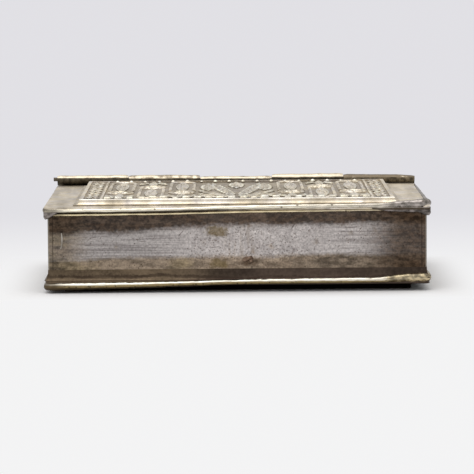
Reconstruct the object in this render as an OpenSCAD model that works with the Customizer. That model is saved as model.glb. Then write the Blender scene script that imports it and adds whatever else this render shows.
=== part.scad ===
// Book-form needle case of beaten silver sheet, lying on its base cover.
// Four walls stand on a coved base tray; the lid turns on a five-knuckle tube
// hinge along the top of the spine wall. A cloth pad inside carries the needles.
// +X runs along the hinge, -Y is the fore edge, +Z is up, and the origin is the
// centre of the face that the case rests on.

/* [Covers] */
// Length of both covers, over their edge wires
cover_l = 86; // [70:0.5:110]
// Depth of the base cover, over its edge wire
cover_d = 58; // [46:0.5:80]
// How far the covers stand out past the walls
cover_lip = 1.2; // [1.1:0.05:2]
// Thickness of the beaten sheet of both covers
sheet_t = 0.9; // [0.7:0.05:1.3]
// Radius of the covers' corners in plan
cover_corner_r = 1.6; // [1.2:0.1:3]
// Height of the cove between the base's edge wire and the walls
base_cove_h = 2.4; // [1.5:0.1:4]
// How far the base's cove stops short of the edge wire's outer line
base_cove_inset = 0.3; // [0.1:0.05:0.5]

/* [Pressed panels] */
// Plain margin between the lid's panel and the ends of the lid
panel_end_margin = 6.8; // [5:0.25:12]
// Plain margin between the lid's panel and the lid's long edges
panel_side_margin = 3.2; // [2.5:0.1:8]
// Plain margin all round the base's panel
base_panel_margin = 3.4; // [2.5:0.1:8]
// Height of the lid's panel above its margin
lid_panel_rise = 1.4; // [1:0.05:2]
// Drop of the base's panel, which the case rests on
base_panel_drop = 1.6; // [1:0.05:2.4]
// Width of the cove that leads up to a panel
panel_cove_w = 0.7; // [0.5:0.05:2]
// Width of the low step at the foot of that cove
panel_step_w = 0.5; // [0.3:0.05:1.2]
// Height of that step
panel_step_h = 0.25; // [0.15:0.05:0.4]
// Radius that rounds the panel's upper edge
panel_edge_r = 0.3; // [0.15:0.05:0.5]
// Width of the ridge round the lid's panel
ridge_w = 0.9; // [0.7:0.05:1.6]
// How far the lid's field lies below that ridge
field_sink = 0.35; // [0.2:0.05:0.5]
// Width of the leaf band at each end of the lid's field
leaf_band_w = 4; // [2.5:0.25:7]
// Width of the ribs that bound those bands
rib_w = 0.5; // [0.3:0.05:0.9]

/* [Lid ornament] */
// Height of the pressed leaves and stems above the lid's field
relief_h = 0.4; // [0.25:0.05:0.45]
// Radius of a stem's round section
stem_r = 0.45; // [0.45:0.05:0.55]
// Plain strip between the ornament and the ridge, at the front and the back
ornament_border = 2.2; // [1.5:0.1:4]
// Air between neighbouring motifs
motif_gap = 0.35; // [0.25:0.05:0.6]
// Half the width of the palmette in the middle of the field
palmette_half = 9; // [7:0.5:12]
// Leaves on each side of the palmette
palmette_leaves = 4; // [2:1:4]
// Angle between neighbouring leaves of the palmette
palmette_turn = 18; // [14:1:20]
// Columns of arches and rosettes on each side of the palmette
column_count = 3; // [2:1:3]
// Curved strokes in the band at each end of the field
wave_count = 7; // [4:1:9]
// Swing of those strokes to each side of their band's middle
wave_swing = 1; // [0.6:0.1:1.2]

/* [Walls] */
// Height of the fore-edge and end walls
wall_h = 13; // [8:0.5:24]
// Thickness of all four walls
wall_t = 0.9; // [0.7:0.05:1.4]
// Radius of the fore-edge wall's upright corners
wall_corner_r = 0.6; // [0.3:0.05:0.65]

/* [Wires] */
// Radius of the base's edge wire
base_wire_r = 0.6; // [0.5:0.05:0.8]
// Radius of the lid's edge wire
lid_wire_r = 0.45; // [0.35:0.05:0.55]
// Radius of the wire along the top of the walls
wall_wire_r = 0.4; // [0.3:0.05:0.45]
// How far that wire's centre line stands outside the walls
wall_wire_out = 0.12; // [0:0.02:0.25]

/* [Hinge] */
// Outer radius of the hinge tube
knuckle_r = 1.35; // [1:0.05:1.6]
// How far the tube stops short of each end of the covers
hinge_inset = 0.2; // [0:0.05:1]
// Knuckles in the hinge, alternately on the case and on the lid
knuckle_count = 5; // [5:2:9]
// Gap between neighbouring knuckles
knuckle_gap = 0.12; // [0.08:0.02:0.3]
// Depth that the tube is let into the lid's tabs
knuckle_seat = 0.3; // [0.2:0.05:0.4]
// Radius of the hinge pin
pin_r = 0.55; // [0.35:0.05:0.65]
// Running clearance between the pin and the lid's knuckles
pin_clearance = 0.05; // [0.02:0.01:0.08]
// How far the pin's rough end sticks out at the left
pin_tip = 1; // [0.3:0.1:2.5]
// Air between the hinge tube and the lid's back edge, and round the lid's tabs
hinge_air = 0.15; // [0.12:0.01:0.3]

/* [Lid bezel] */
// Depth of the strips that drop inside the walls
bezel_h = 2; // [1.2:0.1:3]
// Thickness of those strips
bezel_t = 0.6; // [0.4:0.05:1]
// Clearance between the strips and the walls
bezel_gap = 0.35; // [0.3:0.05:0.6]
// How far the side strips stop short of the spine wall
bezel_back_gap = 3; // [2:0.5:8]

/* [Contents] */
// Thickness of the needle pad
pad_t = 3.4; // [2.5:0.1:4.5]
// Clearance between the pad and the walls
pad_gap = 0.5; // [0.3:0.1:1.5]
// Radius of the pad's corners
pad_corner_r = 3; // [1:0.5:6]
// Number of needles
needle_count = 10; // [1:1:12]
// Length of a needle
needle_l = 40; // [30:0.5:42]
// Radius of a needle
needle_r = 0.4; // [0.3:0.05:0.5]
// Length of a needle's point
needle_point = 5; // [3:0.5:8]
// Distance between neighbouring needles
needle_pitch = 5.5; // [3:0.25:6]
// Width of the cloth band that holds the needles down
needle_band_w = 12; // [6:0.5:14]
// Thickness of that band
needle_band_t = 0.7; // [0.5:0.05:1]
// Clearance between that band and the pad's ends
needle_band_inset = 3; // [2:0.5:8]
// Thickness of the lining in the lid's panel
lining_t = 0.7; // [0.4:0.05:0.7]
// Clearance round that lining
lining_gap = 0.4; // [0.2:0.05:1]

/* [Hidden] */

$fn = 64;
// Flats that stand for each quarter round of a moulding
arc_steps = 6;

silver = [0.72, 0.68, 0.60];
dark_silver = [0.42, 0.38, 0.34];
bright_silver = [0.86, 0.83, 0.76];
cloth = [0.42, 0.10, 0.12];
steel = [0.75, 0.77, 0.80];

// Heights
rim_z = base_panel_drop;
cove_z = rim_z + 2 * base_wire_r;
wall_z = cove_z + base_cove_h;
floor_z = rim_z + sheet_t;
joint_z = wall_z + wall_h;
margin_z = joint_z + sheet_t;
axis_z = margin_z + knuckle_r - knuckle_seat;

// Places in plan
wall_l = cover_l - 2 * cover_lip;
wall_d = cover_d - 2 * cover_lip;
inside_l = wall_l - 2 * wall_t;
inside_d = wall_d - 2 * wall_t;
fore_y = -cover_d / 2;
axis_y = wall_d / 2 - wall_t / 2;
lid_back_y = axis_y - knuckle_r - hinge_air;
base_wire_bend_r = cover_corner_r - base_wire_r;
lid_wire_bend_r = cover_corner_r - lid_wire_r;
hinge_l = cover_l - 2 * hinge_inset;
knuckle_pitch = hinge_l / knuckle_count;
panel_l = cover_l - 2 * panel_end_margin;
lid_panel_d = lid_back_y - fore_y - 2 * panel_side_margin;
lid_panel_y = (lid_back_y + fore_y) / 2;
base_panel_l = cover_l - 2 * base_panel_margin;
base_panel_d = cover_d - 2 * base_panel_margin;
panel_foot = panel_step_w + panel_cove_w;
pocket_inset = panel_foot + sheet_t / 2;
field_l = panel_l - 2 * (panel_foot + ridge_w);
field_d = lid_panel_d - 2 * (panel_foot + ridge_w);
field_z = margin_z + lid_panel_rise - field_sink;
rib_x = field_l / 2 - leaf_band_w;
bezel_l = inside_l - 2 * bezel_gap;
bezel_front_y = bezel_gap - inside_d / 2;
pad_z = floor_z + pad_t;

// The lid's ornament: each motif starts at the front of a strip that is motif_d deep
motif_d = field_d - 2 * ornament_border;
column_pitch = (rib_x - rib_w / 2 - palmette_half) / column_count;
arch_r = column_pitch / 2 - stem_r - motif_gap;
rosette_outer_r = arch_r + stem_r;
fan_l = motif_d / 4;
fan_turn = 28;
rosette_y = fan_l + motif_gap + rosette_outer_r;
arch_y = rosette_y + rosette_outer_r + motif_gap;
arch_l = motif_d - arch_y;

// The hinge's knuckles, counted from the left; each one loses half a gap at both ends
case_knuckles = [for (i = [0 : 2 : knuckle_count - 1]) i];
lid_knuckles = [for (i = [1 : 2 : knuckle_count - 1]) i];
function knuckle_x0(i) = -hinge_l / 2 + i * knuckle_pitch + knuckle_gap / 2;
function knuckle_x1(i) = knuckle_x0(i) + knuckle_pitch - knuckle_gap;

// Shared shapes

// A block with upright edges rounded to corner_r, from z0 up to z1
module rounded_block(l, d, corner_r, z0, z1) {
    translate([0, 0, z0]) {
        translate([-l / 2, corner_r - d / 2, 0]) cube([l, d - 2 * corner_r, z1 - z0]);
        translate([corner_r - l / 2, -d / 2, 0]) cube([l - 2 * corner_r, d, z1 - z0]);
        for (x = [-1, 1], y = [-1, 1])
            translate([x * (l / 2 - corner_r), y * (d / 2 - corner_r), 0])
                cylinder(r = corner_r, h = z1 - z0);
    }
}

// The two sides of a moulded block, from its profile of [inset, height] points
module moulded_outline(w, profile) {
    polygon(concat(
        [for (p = profile) [w / 2 - p.x, p.y]],
        [for (i = [len(profile) - 1 : -1 : 0]) [profile[i].x - w / 2, profile[i].y]]));
}

// A block whose four sides all follow one profile, mitred at the corners
module moulded_block(l, d, profile) {
    intersection() {
        rotate([90, 0, 0]) linear_extrude(d + 1, center = true) moulded_outline(l, profile);
        rotate([90, 0, 90]) linear_extrude(l + 1, center = true) moulded_outline(d, profile);
    }
}

// A pressed-out panel seen from its own side: a step, a cove and a rounded edge
function panel_profile(rise) =
    let (edge_z = rise - panel_edge_r)
    concat(
        [[0, -sheet_t / 2], [0, panel_step_h]],
        [for (i = [0 : arc_steps]) let (a = 90 * i / arc_steps)
            [panel_step_w + panel_cove_w * sin(a),
             panel_step_h + (edge_z - panel_step_h) * (1 - cos(a))]],
        [for (i = [1 : arc_steps]) let (a = 90 * i / arc_steps)
            [panel_foot + panel_edge_r * (1 - cos(a)), edge_z + panel_edge_r * sin(a)]]);

// A wire bent to three sides of a cover, round at its two front corners
module bent_wire(l, front_y, back_y, corner_r, wire_r) {
    straight_l = l - 2 * corner_r;
    translate([-straight_l / 2, front_y, 0]) rotate([0, 90, 0]) cylinder(r = wire_r, h = straight_l);
    for (side = [0, 1]) mirror([side, 0, 0]) {
        translate([l / 2, front_y + corner_r, 0])
            rotate([-90, 0, 0]) cylinder(r = wire_r, h = back_y - front_y - corner_r);
        translate([straight_l / 2, front_y + corner_r, 0]) rotate([0, 0, -90])
            rotate_extrude(angle = 90) translate([corner_r, 0]) circle(r = wire_r);
    }
}

// A tube or rod along the hinge line, from x0 to x1
module hinge_rod(r, x0, x1) {
    translate([x0, axis_y, axis_z]) rotate([0, 90, 0]) cylinder(r = r, h = x1 - x0);
}

// One knuckle of the hinge tube, bored for the pin
module knuckle(i, bore_r) {
    difference() {
        hinge_rod(knuckle_r, knuckle_x0(i), knuckle_x1(i));
        hinge_rod(bore_r, knuckle_x0(i) - knuckle_gap, knuckle_x1(i) + knuckle_gap);
    }
}

// Case

module base_cover() {
    cove_w = cover_lip - base_cove_inset;
    cove = [for (i = [0 : arc_steps]) let (a = 90 * i / arc_steps)
        [base_cove_inset + cove_w * sin(a), cove_z + base_cove_h * (1 - cos(a))]];
    color(silver) difference() {
        union() {
            rounded_block(cover_l - 2 * base_wire_r, cover_d - 2 * base_wire_r, base_wire_bend_r,
                          rim_z, cove_z);
            intersection() {
                moulded_block(cover_l, cover_d, cove);
                rounded_block(cover_l - 2 * base_cove_inset, cover_d - 2 * base_cove_inset,
                              cover_corner_r - base_cove_inset, cove_z, wall_z);
            }
            translate([0, 0, rim_z]) mirror([0, 0, 1])
                moulded_block(base_panel_l, base_panel_d, panel_profile(base_panel_drop));
        }
        translate([-inside_l / 2, -inside_d / 2, floor_z]) cube([inside_l, inside_d, wall_z]);
        translate([pocket_inset - base_panel_l / 2, pocket_inset - base_panel_d / 2, sheet_t])
            cube([base_panel_l - 2 * pocket_inset, base_panel_d - 2 * pocket_inset, floor_z]);
    }
}

module base_edge_wire() {
    color(bright_silver) difference() {
        translate([0, 0, rim_z + base_wire_r]) for (back = [0, 1]) mirror([0, back, 0])
            bent_wire(cover_l - 2 * base_wire_r, fore_y + base_wire_r, 0, base_wire_bend_r, base_wire_r);
        rounded_block(cover_l - 2 * base_wire_r, cover_d - 2 * base_wire_r, base_wire_bend_r, 0, wall_z);
    }
}

module fore_edge_wall() {
    color(dark_silver) difference() {
        rounded_block(wall_l, wall_d, wall_corner_r, wall_z, joint_z);
        translate([-wall_l, wall_t - wall_d / 2, 0]) cube([2 * wall_l, wall_d, 2 * joint_z]);
    }
}

module end_wall() {
    translate([-wall_l / 2, wall_t - wall_d / 2, wall_z]) cube([wall_t, inside_d, wall_h]);
}

module left_end_wall() {
    color(dark_silver) end_wall();
}

module right_end_wall() {
    color(dark_silver) mirror([1, 0, 0]) end_wall();
}

// Rises to the tube under the case's knuckles, and is notched for the lid's tabs
module spine_wall() {
    color(dark_silver) difference() {
        translate([-wall_l / 2, wall_d / 2 - wall_t, wall_z]) cube([wall_l, wall_t, axis_z - wall_z]);
        hinge_rod(knuckle_r, -cover_l, cover_l);
        translate([-cover_l, axis_y - wall_t, axis_z - knuckle_r / 2])
            cube([2 * cover_l, 2 * wall_t, knuckle_r]);
        for (i = lid_knuckles)
            translate([knuckle_x0(i) - knuckle_gap, axis_y - wall_t, joint_z - hinge_air])
                cube([knuckle_pitch + knuckle_gap, 2 * wall_t, knuckle_r + sheet_t + hinge_air]);
    }
}

module wall_top_wire() {
    l = wall_l + 2 * wall_wire_out;
    front_y = -wall_d / 2 - wall_wire_out;
    color(bright_silver) difference() {
        translate([0, 0, joint_z - wall_wire_r])
            bent_wire(l, front_y, lid_back_y, wall_corner_r + wall_wire_out, wall_wire_r);
        rounded_block(wall_l, wall_d, wall_corner_r, 0, 2 * joint_z);
    }
}

module case_knuckle_left() {
    color(silver) knuckle(case_knuckles[0], pin_r);
}

module case_knuckle_middle() {
    color(silver) for (i = [1 : len(case_knuckles) - 2]) knuckle(case_knuckles[i], pin_r);
}

module case_knuckle_right() {
    color(silver) knuckle(case_knuckles[len(case_knuckles) - 1], pin_r);
}

module hinge_pin() {
    color(dark_silver) hinge_rod(pin_r, -hinge_l / 2 - pin_tip, hinge_l / 2);
}

// Contents

module needle_solid() {
    rotate([-90, 0, 0]) cylinder(r = needle_r, h = needle_l - needle_point);
    translate([0, needle_l - needle_point, 0])
        rotate([-90, 0, 0]) cylinder(r1 = needle_r, r2 = needle_r / 4, h = needle_point);
}

module needles() {
    color(steel) for (i = [0 : needle_count - 1])
        translate([(i - (needle_count - 1) / 2) * needle_pitch, -needle_l / 2, pad_z]) needle_solid();
}

// Grooved on top, so that each needle lies half sunk in the cloth
module needle_pad() {
    color(cloth) difference() {
        rounded_block(inside_l - 2 * pad_gap, inside_d - 2 * pad_gap, pad_corner_r, floor_z, pad_z);
        needles();
    }
}

module needle_band() {
    l = inside_l - 2 * (pad_gap + needle_band_inset);
    color(cloth) difference() {
        rounded_block(l, needle_band_w, needle_band_t, pad_z, pad_z + needle_r + needle_band_t);
        needles();
    }
}

// Lid ornament, drawn on the height of the field and growing towards the hinge

// A leaf that is pointed at both ends and rounded across its back
module leaf(l, w) {
    outline_r = (l * l + w * w) / (4 * w);
    crown_r = (w * w / 3 + relief_h * relief_h) / (2 * relief_h);
    intersection() {
        translate([outline_r - w / 2, l / 2, -sheet_t / 2]) cylinder(r = outline_r, h = sheet_t + relief_h);
        translate([w / 2 - outline_r, l / 2, -sheet_t / 2]) cylinder(r = outline_r, h = sheet_t + relief_h);
        translate([0, -w, relief_h - crown_r]) rotate([-90, 0, 0]) cylinder(r = crown_r, h = l + 2 * w);
    }
}

// A round stem bent to part of a circle, starting at +X
module stem_arc(r, turn) {
    translate([0, 0, relief_h - stem_r]) rotate_extrude(angle = turn) translate([r, 0]) circle(r = stem_r);
}

// A stem bent to a tall round arch, with a leaf inside it
module arch(l) {
    leg_l = l - arch_r - stem_r;
    for (side = [-1, 1])
        translate([side * arch_r, 0, relief_h - stem_r]) rotate([-90, 0, 0]) cylinder(r = stem_r, h = leg_l);
    translate([0, leg_l, 0]) stem_arc(arch_r, 180);
    leaf(l - 4 * stem_r, arch_r);
}

// A ring with a round bud in it
module rosette() {
    stem_arc(arch_r, 360);
    sphere(r = relief_h);
}

// Fan, rosette and arch, one behind the other
module ornament_column() {
    side_l = min(fan_l, (column_pitch / 2 - motif_gap) / sin(fan_turn));
    start = side_l * 0.4;
    leaf(fan_l, fan_l / 6);
    for (side = [-1, 1])
        rotate([0, 0, side * fan_turn]) translate([0, start, 0]) leaf(side_l - start, side_l / 6);
    translate([0, rosette_y, 0]) rosette();
    translate([0, arch_y, 0]) arch(arch_l);
}

// Long leaves that fan out from the front of the field, and three that stand behind them
module palmette() {
    reach = palmette_half - motif_gap;
    start = palmette_half / 3;
    translate([0, motif_d * 0.6, 0]) leaf(motif_d * 0.35, palmette_half / 4);
    for (side = [-1, 1]) {
        translate([side * palmette_half * 0.72, motif_d * 0.45, 0]) leaf(motif_d * 0.4, palmette_half / 4);
        for (i = [0 : palmette_leaves - 1]) {
            turn = palmette_turn * (i + 0.5);
            l = min(motif_d * 0.9, reach / sin(turn)) - start;
            rotate([0, 0, side * turn]) translate([0, start, 0]) leaf(l, min(l, palmette_half) / 5);
        }
    }
}

// Curved strokes that swing from side to side, with a leaf in each of their hollows
module wave_stem() {
    half = motif_d / wave_count / 2;
    r = (half * half + wave_swing * wave_swing) / (2 * wave_swing);
    turn = asin((half - motif_gap) / r);
    for (i = [0 : wave_count - 1])
        translate([0, (2 * i + 1) * half, 0]) rotate([0, 0, 180 * (i % 2)]) {
            translate([wave_swing - r, 0, 0]) rotate([0, 0, -turn]) stem_arc(r, 2 * turn);
            translate([-0.7 * wave_swing, -half / 2, 0]) leaf(half, wave_swing);
        }
}

module lid_relief() {
    band_x = (rib_x + rib_w / 2 + field_l / 2) / 2;
    translate([0, lid_panel_y - motif_d / 2, field_z]) palmette();
    for (side = [-1, 1]) {
        translate([side * band_x, lid_panel_y - motif_d / 2, field_z]) wave_stem();
        for (i = [0 : column_count - 1])
            translate([side * (palmette_half + (i + 0.5) * column_pitch), lid_panel_y, field_z])
                rotate([0, 0, 180 * (i % 2)]) translate([0, -motif_d / 2, 0]) ornament_column();
    }
}

// Lid

module lid_plate() {
    tab_air = 2 * hinge_air;
    difference() {
        union() {
            difference() {
                rounded_block(cover_l - 2 * lid_wire_r, cover_d - 2 * lid_wire_r, lid_wire_bend_r,
                              joint_z, margin_z);
                translate([-cover_l, lid_back_y, 0]) cube([2 * cover_l, cover_d, 2 * margin_z]);
            }
            for (i = lid_knuckles)
                translate([knuckle_x0(i) + tab_air, lid_back_y - 1, joint_z])
                    cube([knuckle_pitch - knuckle_gap - 2 * tab_air,
                          axis_y + wall_t / 2 - lid_back_y + 1, sheet_t]);
            translate([0, lid_panel_y, margin_z])
                moulded_block(panel_l, lid_panel_d, panel_profile(lid_panel_rise));
        }
        hinge_rod(knuckle_r, -cover_l, cover_l);
        difference() {
            translate([-field_l / 2, lid_panel_y - field_d / 2, field_z])
                cube([field_l, field_d, 2 * lid_panel_rise]);
            for (side = [-1, 1])
                translate([side * rib_x - rib_w / 2, lid_panel_y - field_d, 0])
                    cube([rib_w, 2 * field_d, field_z + field_sink]);
        }
        translate([pocket_inset - panel_l / 2, lid_panel_y + pocket_inset - lid_panel_d / 2, 0])
            cube([panel_l - 2 * pocket_inset, lid_panel_d - 2 * pocket_inset, field_z - sheet_t]);
    }
}

module lid_cover() {
    color(silver) union() {
        lid_plate();
        lid_relief();
    }
}

module lid_edge_wire() {
    color(bright_silver) difference() {
        translate([0, 0, joint_z + lid_wire_r])
            bent_wire(cover_l - 2 * lid_wire_r, fore_y + lid_wire_r, lid_back_y, lid_wire_bend_r, lid_wire_r);
        rounded_block(cover_l - 2 * lid_wire_r, cover_d - 2 * lid_wire_r, lid_wire_bend_r,
                      joint_z, 2 * margin_z);
    }
}

module lid_bezel_front() {
    color(silver) translate([-bezel_l / 2, bezel_front_y, joint_z - bezel_h])
        cube([bezel_l, bezel_t, bezel_h]);
}

module bezel_side() {
    start_y = bezel_front_y + bezel_t;
    translate([-bezel_l / 2, start_y, joint_z - bezel_h])
        cube([bezel_t, inside_d / 2 - bezel_back_gap - start_y, bezel_h]);
}

module lid_bezel_left() {
    color(silver) bezel_side();
}

module lid_bezel_right() {
    color(silver) mirror([1, 0, 0]) bezel_side();
}

module lid_knuckle_left() {
    color(silver) knuckle(lid_knuckles[0], pin_r + pin_clearance);
}

module lid_knuckle_right() {
    color(silver) for (i = [1 : len(lid_knuckles) - 1]) knuckle(lid_knuckles[i], pin_r + pin_clearance);
}

module lid_lining() {
    roof_z = field_z - sheet_t;
    inset = 2 * (pocket_inset + lining_gap);
    color(cloth) translate([0, lid_panel_y, 0])
        rounded_block(panel_l - inset, lid_panel_d - inset, lining_gap, roof_z - lining_t, roof_z);
}

base_cover();
base_edge_wire();
fore_edge_wall();
left_end_wall();
right_end_wall();
spine_wall();
wall_top_wire();
case_knuckle_left();
case_knuckle_middle();
case_knuckle_right();
hinge_pin();
needle_pad();
needles();
needle_band();
lid_cover();
lid_edge_wire();
lid_bezel_front();
lid_bezel_left();
lid_bezel_right();
lid_knuckle_left();
lid_knuckle_right();
lid_lining();
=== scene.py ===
"""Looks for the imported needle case, a small book of beaten silver sheet.

The sheet-metal nodes keep their CAD shapes and get their finishes here. The wires, the hinge tube, the pin,
the needles and the cloth are modelled anew over their nodes, and the lid gets its pressed ornament.
"""

import math
from contextlib import contextmanager

import bpy
from bpy.props import FloatProperty, FloatVectorProperty, PointerProperty
from mathutils import Matrix, Vector, noise
from mathutils.bvhtree import BVHTree


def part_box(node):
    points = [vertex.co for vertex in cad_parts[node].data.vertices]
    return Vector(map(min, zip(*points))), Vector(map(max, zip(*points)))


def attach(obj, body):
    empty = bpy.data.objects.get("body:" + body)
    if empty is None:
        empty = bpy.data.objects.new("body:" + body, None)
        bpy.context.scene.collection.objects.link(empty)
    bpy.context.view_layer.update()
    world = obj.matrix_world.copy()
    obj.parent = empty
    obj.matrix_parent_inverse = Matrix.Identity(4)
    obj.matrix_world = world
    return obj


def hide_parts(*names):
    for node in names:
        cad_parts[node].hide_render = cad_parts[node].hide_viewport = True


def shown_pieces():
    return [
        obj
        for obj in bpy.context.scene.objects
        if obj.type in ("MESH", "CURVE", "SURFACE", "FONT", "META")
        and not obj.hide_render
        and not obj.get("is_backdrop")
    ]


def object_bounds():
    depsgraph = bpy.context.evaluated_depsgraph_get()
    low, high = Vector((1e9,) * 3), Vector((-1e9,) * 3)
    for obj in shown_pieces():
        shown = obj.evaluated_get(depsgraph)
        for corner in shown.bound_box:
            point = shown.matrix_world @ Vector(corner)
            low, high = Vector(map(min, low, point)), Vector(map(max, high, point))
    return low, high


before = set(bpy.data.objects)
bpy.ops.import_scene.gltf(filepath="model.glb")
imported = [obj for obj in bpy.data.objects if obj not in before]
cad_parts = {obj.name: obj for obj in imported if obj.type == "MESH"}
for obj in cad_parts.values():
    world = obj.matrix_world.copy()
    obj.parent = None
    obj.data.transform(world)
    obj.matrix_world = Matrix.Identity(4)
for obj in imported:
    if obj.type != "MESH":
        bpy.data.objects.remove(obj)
CAD_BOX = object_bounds()

bl_info = {
    "name": "Silver needle case",
    "version": (1, 0, 0),
    "blender": (4, 5, 0),
    "location": "View3D > Sidebar > Needle case",
    "description": "Dresses a book-form needle case of beaten silver sheet",
    "category": "Object",
}

MM = 0.001

# The photograph's frame, and points that were read off it
W = H = 474
IMAGE_POINTS = {
    "object_left": (41.5, None),
    "object_right": (432.0, None),
    "object_top": (None, 173.0),
    "object_bottom": (None, 291.0),
    "lid_left_corner": (42.0, 212.0),
    "lid_right_corner": (431.5, 203.5),
    "hinge_left_end": (59.0, 174.0),
    "hinge_right_end": (418.0, 174.5),
    "pin_tip": (54.0, 178.0),
    "lid_edge_middle": (237.0, 206.5),
    "rim_middle": (237.0, 280.0),
    "ridge_front_left": (79.0, 199.3),
    "ridge_front_right": (398.0, 197.8),
    "solder_blob": (248.5, 259.5),
    "wall_crease": (62.0, 241.0),
    "front_tongues": (237.0, 196.5),
    "back_beads": (309.0, 183.0),
}

# The camera, settled by the points above: a long lens, aimed a little down, rolled a little
CAMERA_PLACE = Vector((-2.2, -639.5, 78.1)) * MM
CAMERA_LENS = 212.0
CAMERA_YAW = math.radians(0.2)
CAMERA_PITCH = math.radians(6.15)
CAMERA_ROLL = math.radians(-0.45)

# The lamps' places, seen from the case, and their sizes, in metres
KEY_PLACE, KEY_SIZE = Vector((-0.12, -0.10, 0.75)), 0.7
FRONT_PLACE, FRONT_SIZE = Vector((-0.45, -0.75, 0.35)), 0.5

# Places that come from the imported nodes
LID_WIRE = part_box("lid_edge_wire")
BASE_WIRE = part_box("base_edge_wire")
TOP_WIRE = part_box("wall_top_wire")
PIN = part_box("hinge_pin")
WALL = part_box("fore_edge_wall")
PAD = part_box("needle_pad")
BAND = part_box("needle_band")
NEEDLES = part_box("needles")
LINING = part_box("lid_lining")
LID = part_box("lid_cover")
HINGE_Y, HINGE_Z = (PIN[0].y + PIN[1].y) / 2, (PIN[0].z + PIN[1].z) / 2
LID_TOP = LID_WIRE[1].z
# The pressed leaves are the lid's highest places; the ridge stands a little lower, round the sunk field
RELIEF = 0.4 * MM
GROUND = LID[1].z - RELIEF
RIDGE_TOP = GROUND + 0.35 * MM
# Distances from the lid's ends and long edges to the sunk field inside the panel's ridge
FIELD_END_INSET = 8.9 * MM
FIELD_SIDE_INSET = 5.3 * MM
FIELD_X = LID_WIRE[1].x - FIELD_END_INSET
FIELD_FRONT = LID_WIRE[0].y + FIELD_SIDE_INSET
FIELD_BACK = LID_WIRE[1].y - FIELD_SIDE_INSET
# Ribs part off the bands at the field's ends, and a border runs along its front and its back
END_BAND, RIB_HALF, BORDER = 4 * MM, 0.25 * MM, 2.2 * MM
RIB_X = FIELD_X - END_BAND
# The rule by which the CAD lays out the lid's ornament: strips that are MOTIF deep, and their parts
MOTIF = FIELD_BACK - FIELD_FRONT - 2 * BORDER
MOTIF_GAP, STEM = 0.35 * MM, 0.45 * MM
PALMETTE_HALF, PALMETTE_LEAVES, PALMETTE_TURN = 9 * MM, 4, math.radians(18)
COLUMNS = 3
COLUMN_PITCH = (RIB_X - RIB_HALF - PALMETTE_HALF) / COLUMNS
ARCH_R = COLUMN_PITCH / 2 - STEM - MOTIF_GAP
FAN_L, FAN_TURN = MOTIF / 4, math.radians(28)
ROSETTE_Y = FAN_L + MOTIF_GAP + ARCH_R + STEM
ARCH_Y = ROSETTE_Y + ARCH_R + STEM + MOTIF_GAP
BAND_X = (RIB_X + RIB_HALF + FIELD_X) / 2
WAVES, WAVE_SWING = 7, 1 * MM
# Distance between pearls, and their height above the field
PEARL_PITCH, PEARL_LIFT = 0.85 * MM, RELIEF - 0.06 * MM
# The inside of the fore-edge wall, and the middle of the lid's worn back, both in millimetres
FORE_EDGE_INSIDE = WALL[1].y / MM
WORN_MIDDLE = 3.0
# The bends of the wires' middle lines, and how far out the covers' ends begin
LID_CORNER, WALL_CORNER, BASE_CORNER = 1.15 * MM, 0.6 * MM, 1.0 * MM
END_X = 40 * MM
# Room that is left inside a node's box for the hammer marks
EASE = 0.14 * MM
# Points of a mesh that lie nearer than this are one
MERGE = 1e-7
# The needles: how many there are, their radius and the distance from one to the next
NEEDLE_COUNT = 10
NEEDLE_R = NEEDLES[1].z - PAD[1].z
NEEDLE_PITCH = (NEEDLES[1].x - NEEDLES[0].x - 2 * NEEDLE_R) / (NEEDLE_COUNT - 1)
NEEDLE_PLACES = [NEEDLES[0].x + NEEDLE_R + NEEDLE_PITCH * i for i in range(NEEDLE_COUNT)]

made = {}


# Sizes and colours that a user would change

class CaseSizes(bpy.types.PropertyGroup):
    """Sizes of what is added over the CAD nodes."""
    outline_radius: FloatProperty(name="Outline radius", description="Half the thickness of a leaf's outline",
                                  default=0.2 * MM, unit="LENGTH")
    vein_radius: FloatProperty(name="Vein radius", description="Half the thickness of a leaf's vein",
                               default=0.14 * MM, unit="LENGTH")
    lobe_radius: FloatProperty(name="Lobe radius", description="Half the thickness of a leaf's lobes",
                               default=0.3 * MM, unit="LENGTH")
    pearl_radius: FloatProperty(name="Pearl radius", description="Radius of the pearls along the stems",
                                default=0.2 * MM, unit="LENGTH")
    bead_radius: FloatProperty(name="Bead radius", description="Radius of the border's beads",
                               default=0.5 * MM, unit="LENGTH")
    bead_pitch: FloatProperty(name="Bead pitch", description="Distance between the back border's beads",
                              default=3.3 * MM, unit="LENGTH")
    tongue_pitch: FloatProperty(name="Tongue pitch", description="Distance between the front border's tongues",
                                default=2.5 * MM, unit="LENGTH")
    wire_rack: FloatProperty(name="Rack", description="How far the edge wires rise to the right",
                             default=0.4 * MM, unit="LENGTH")
    dent_depth: FloatProperty(name="Dent depth", description="Depth of the hammer marks on wires and tubes",
                              default=0.08 * MM, unit="LENGTH")
    needle_eye: FloatProperty(name="Needle eye", description="Length of a needle's eye",
                              default=2.2 * MM, unit="LENGTH")


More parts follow.
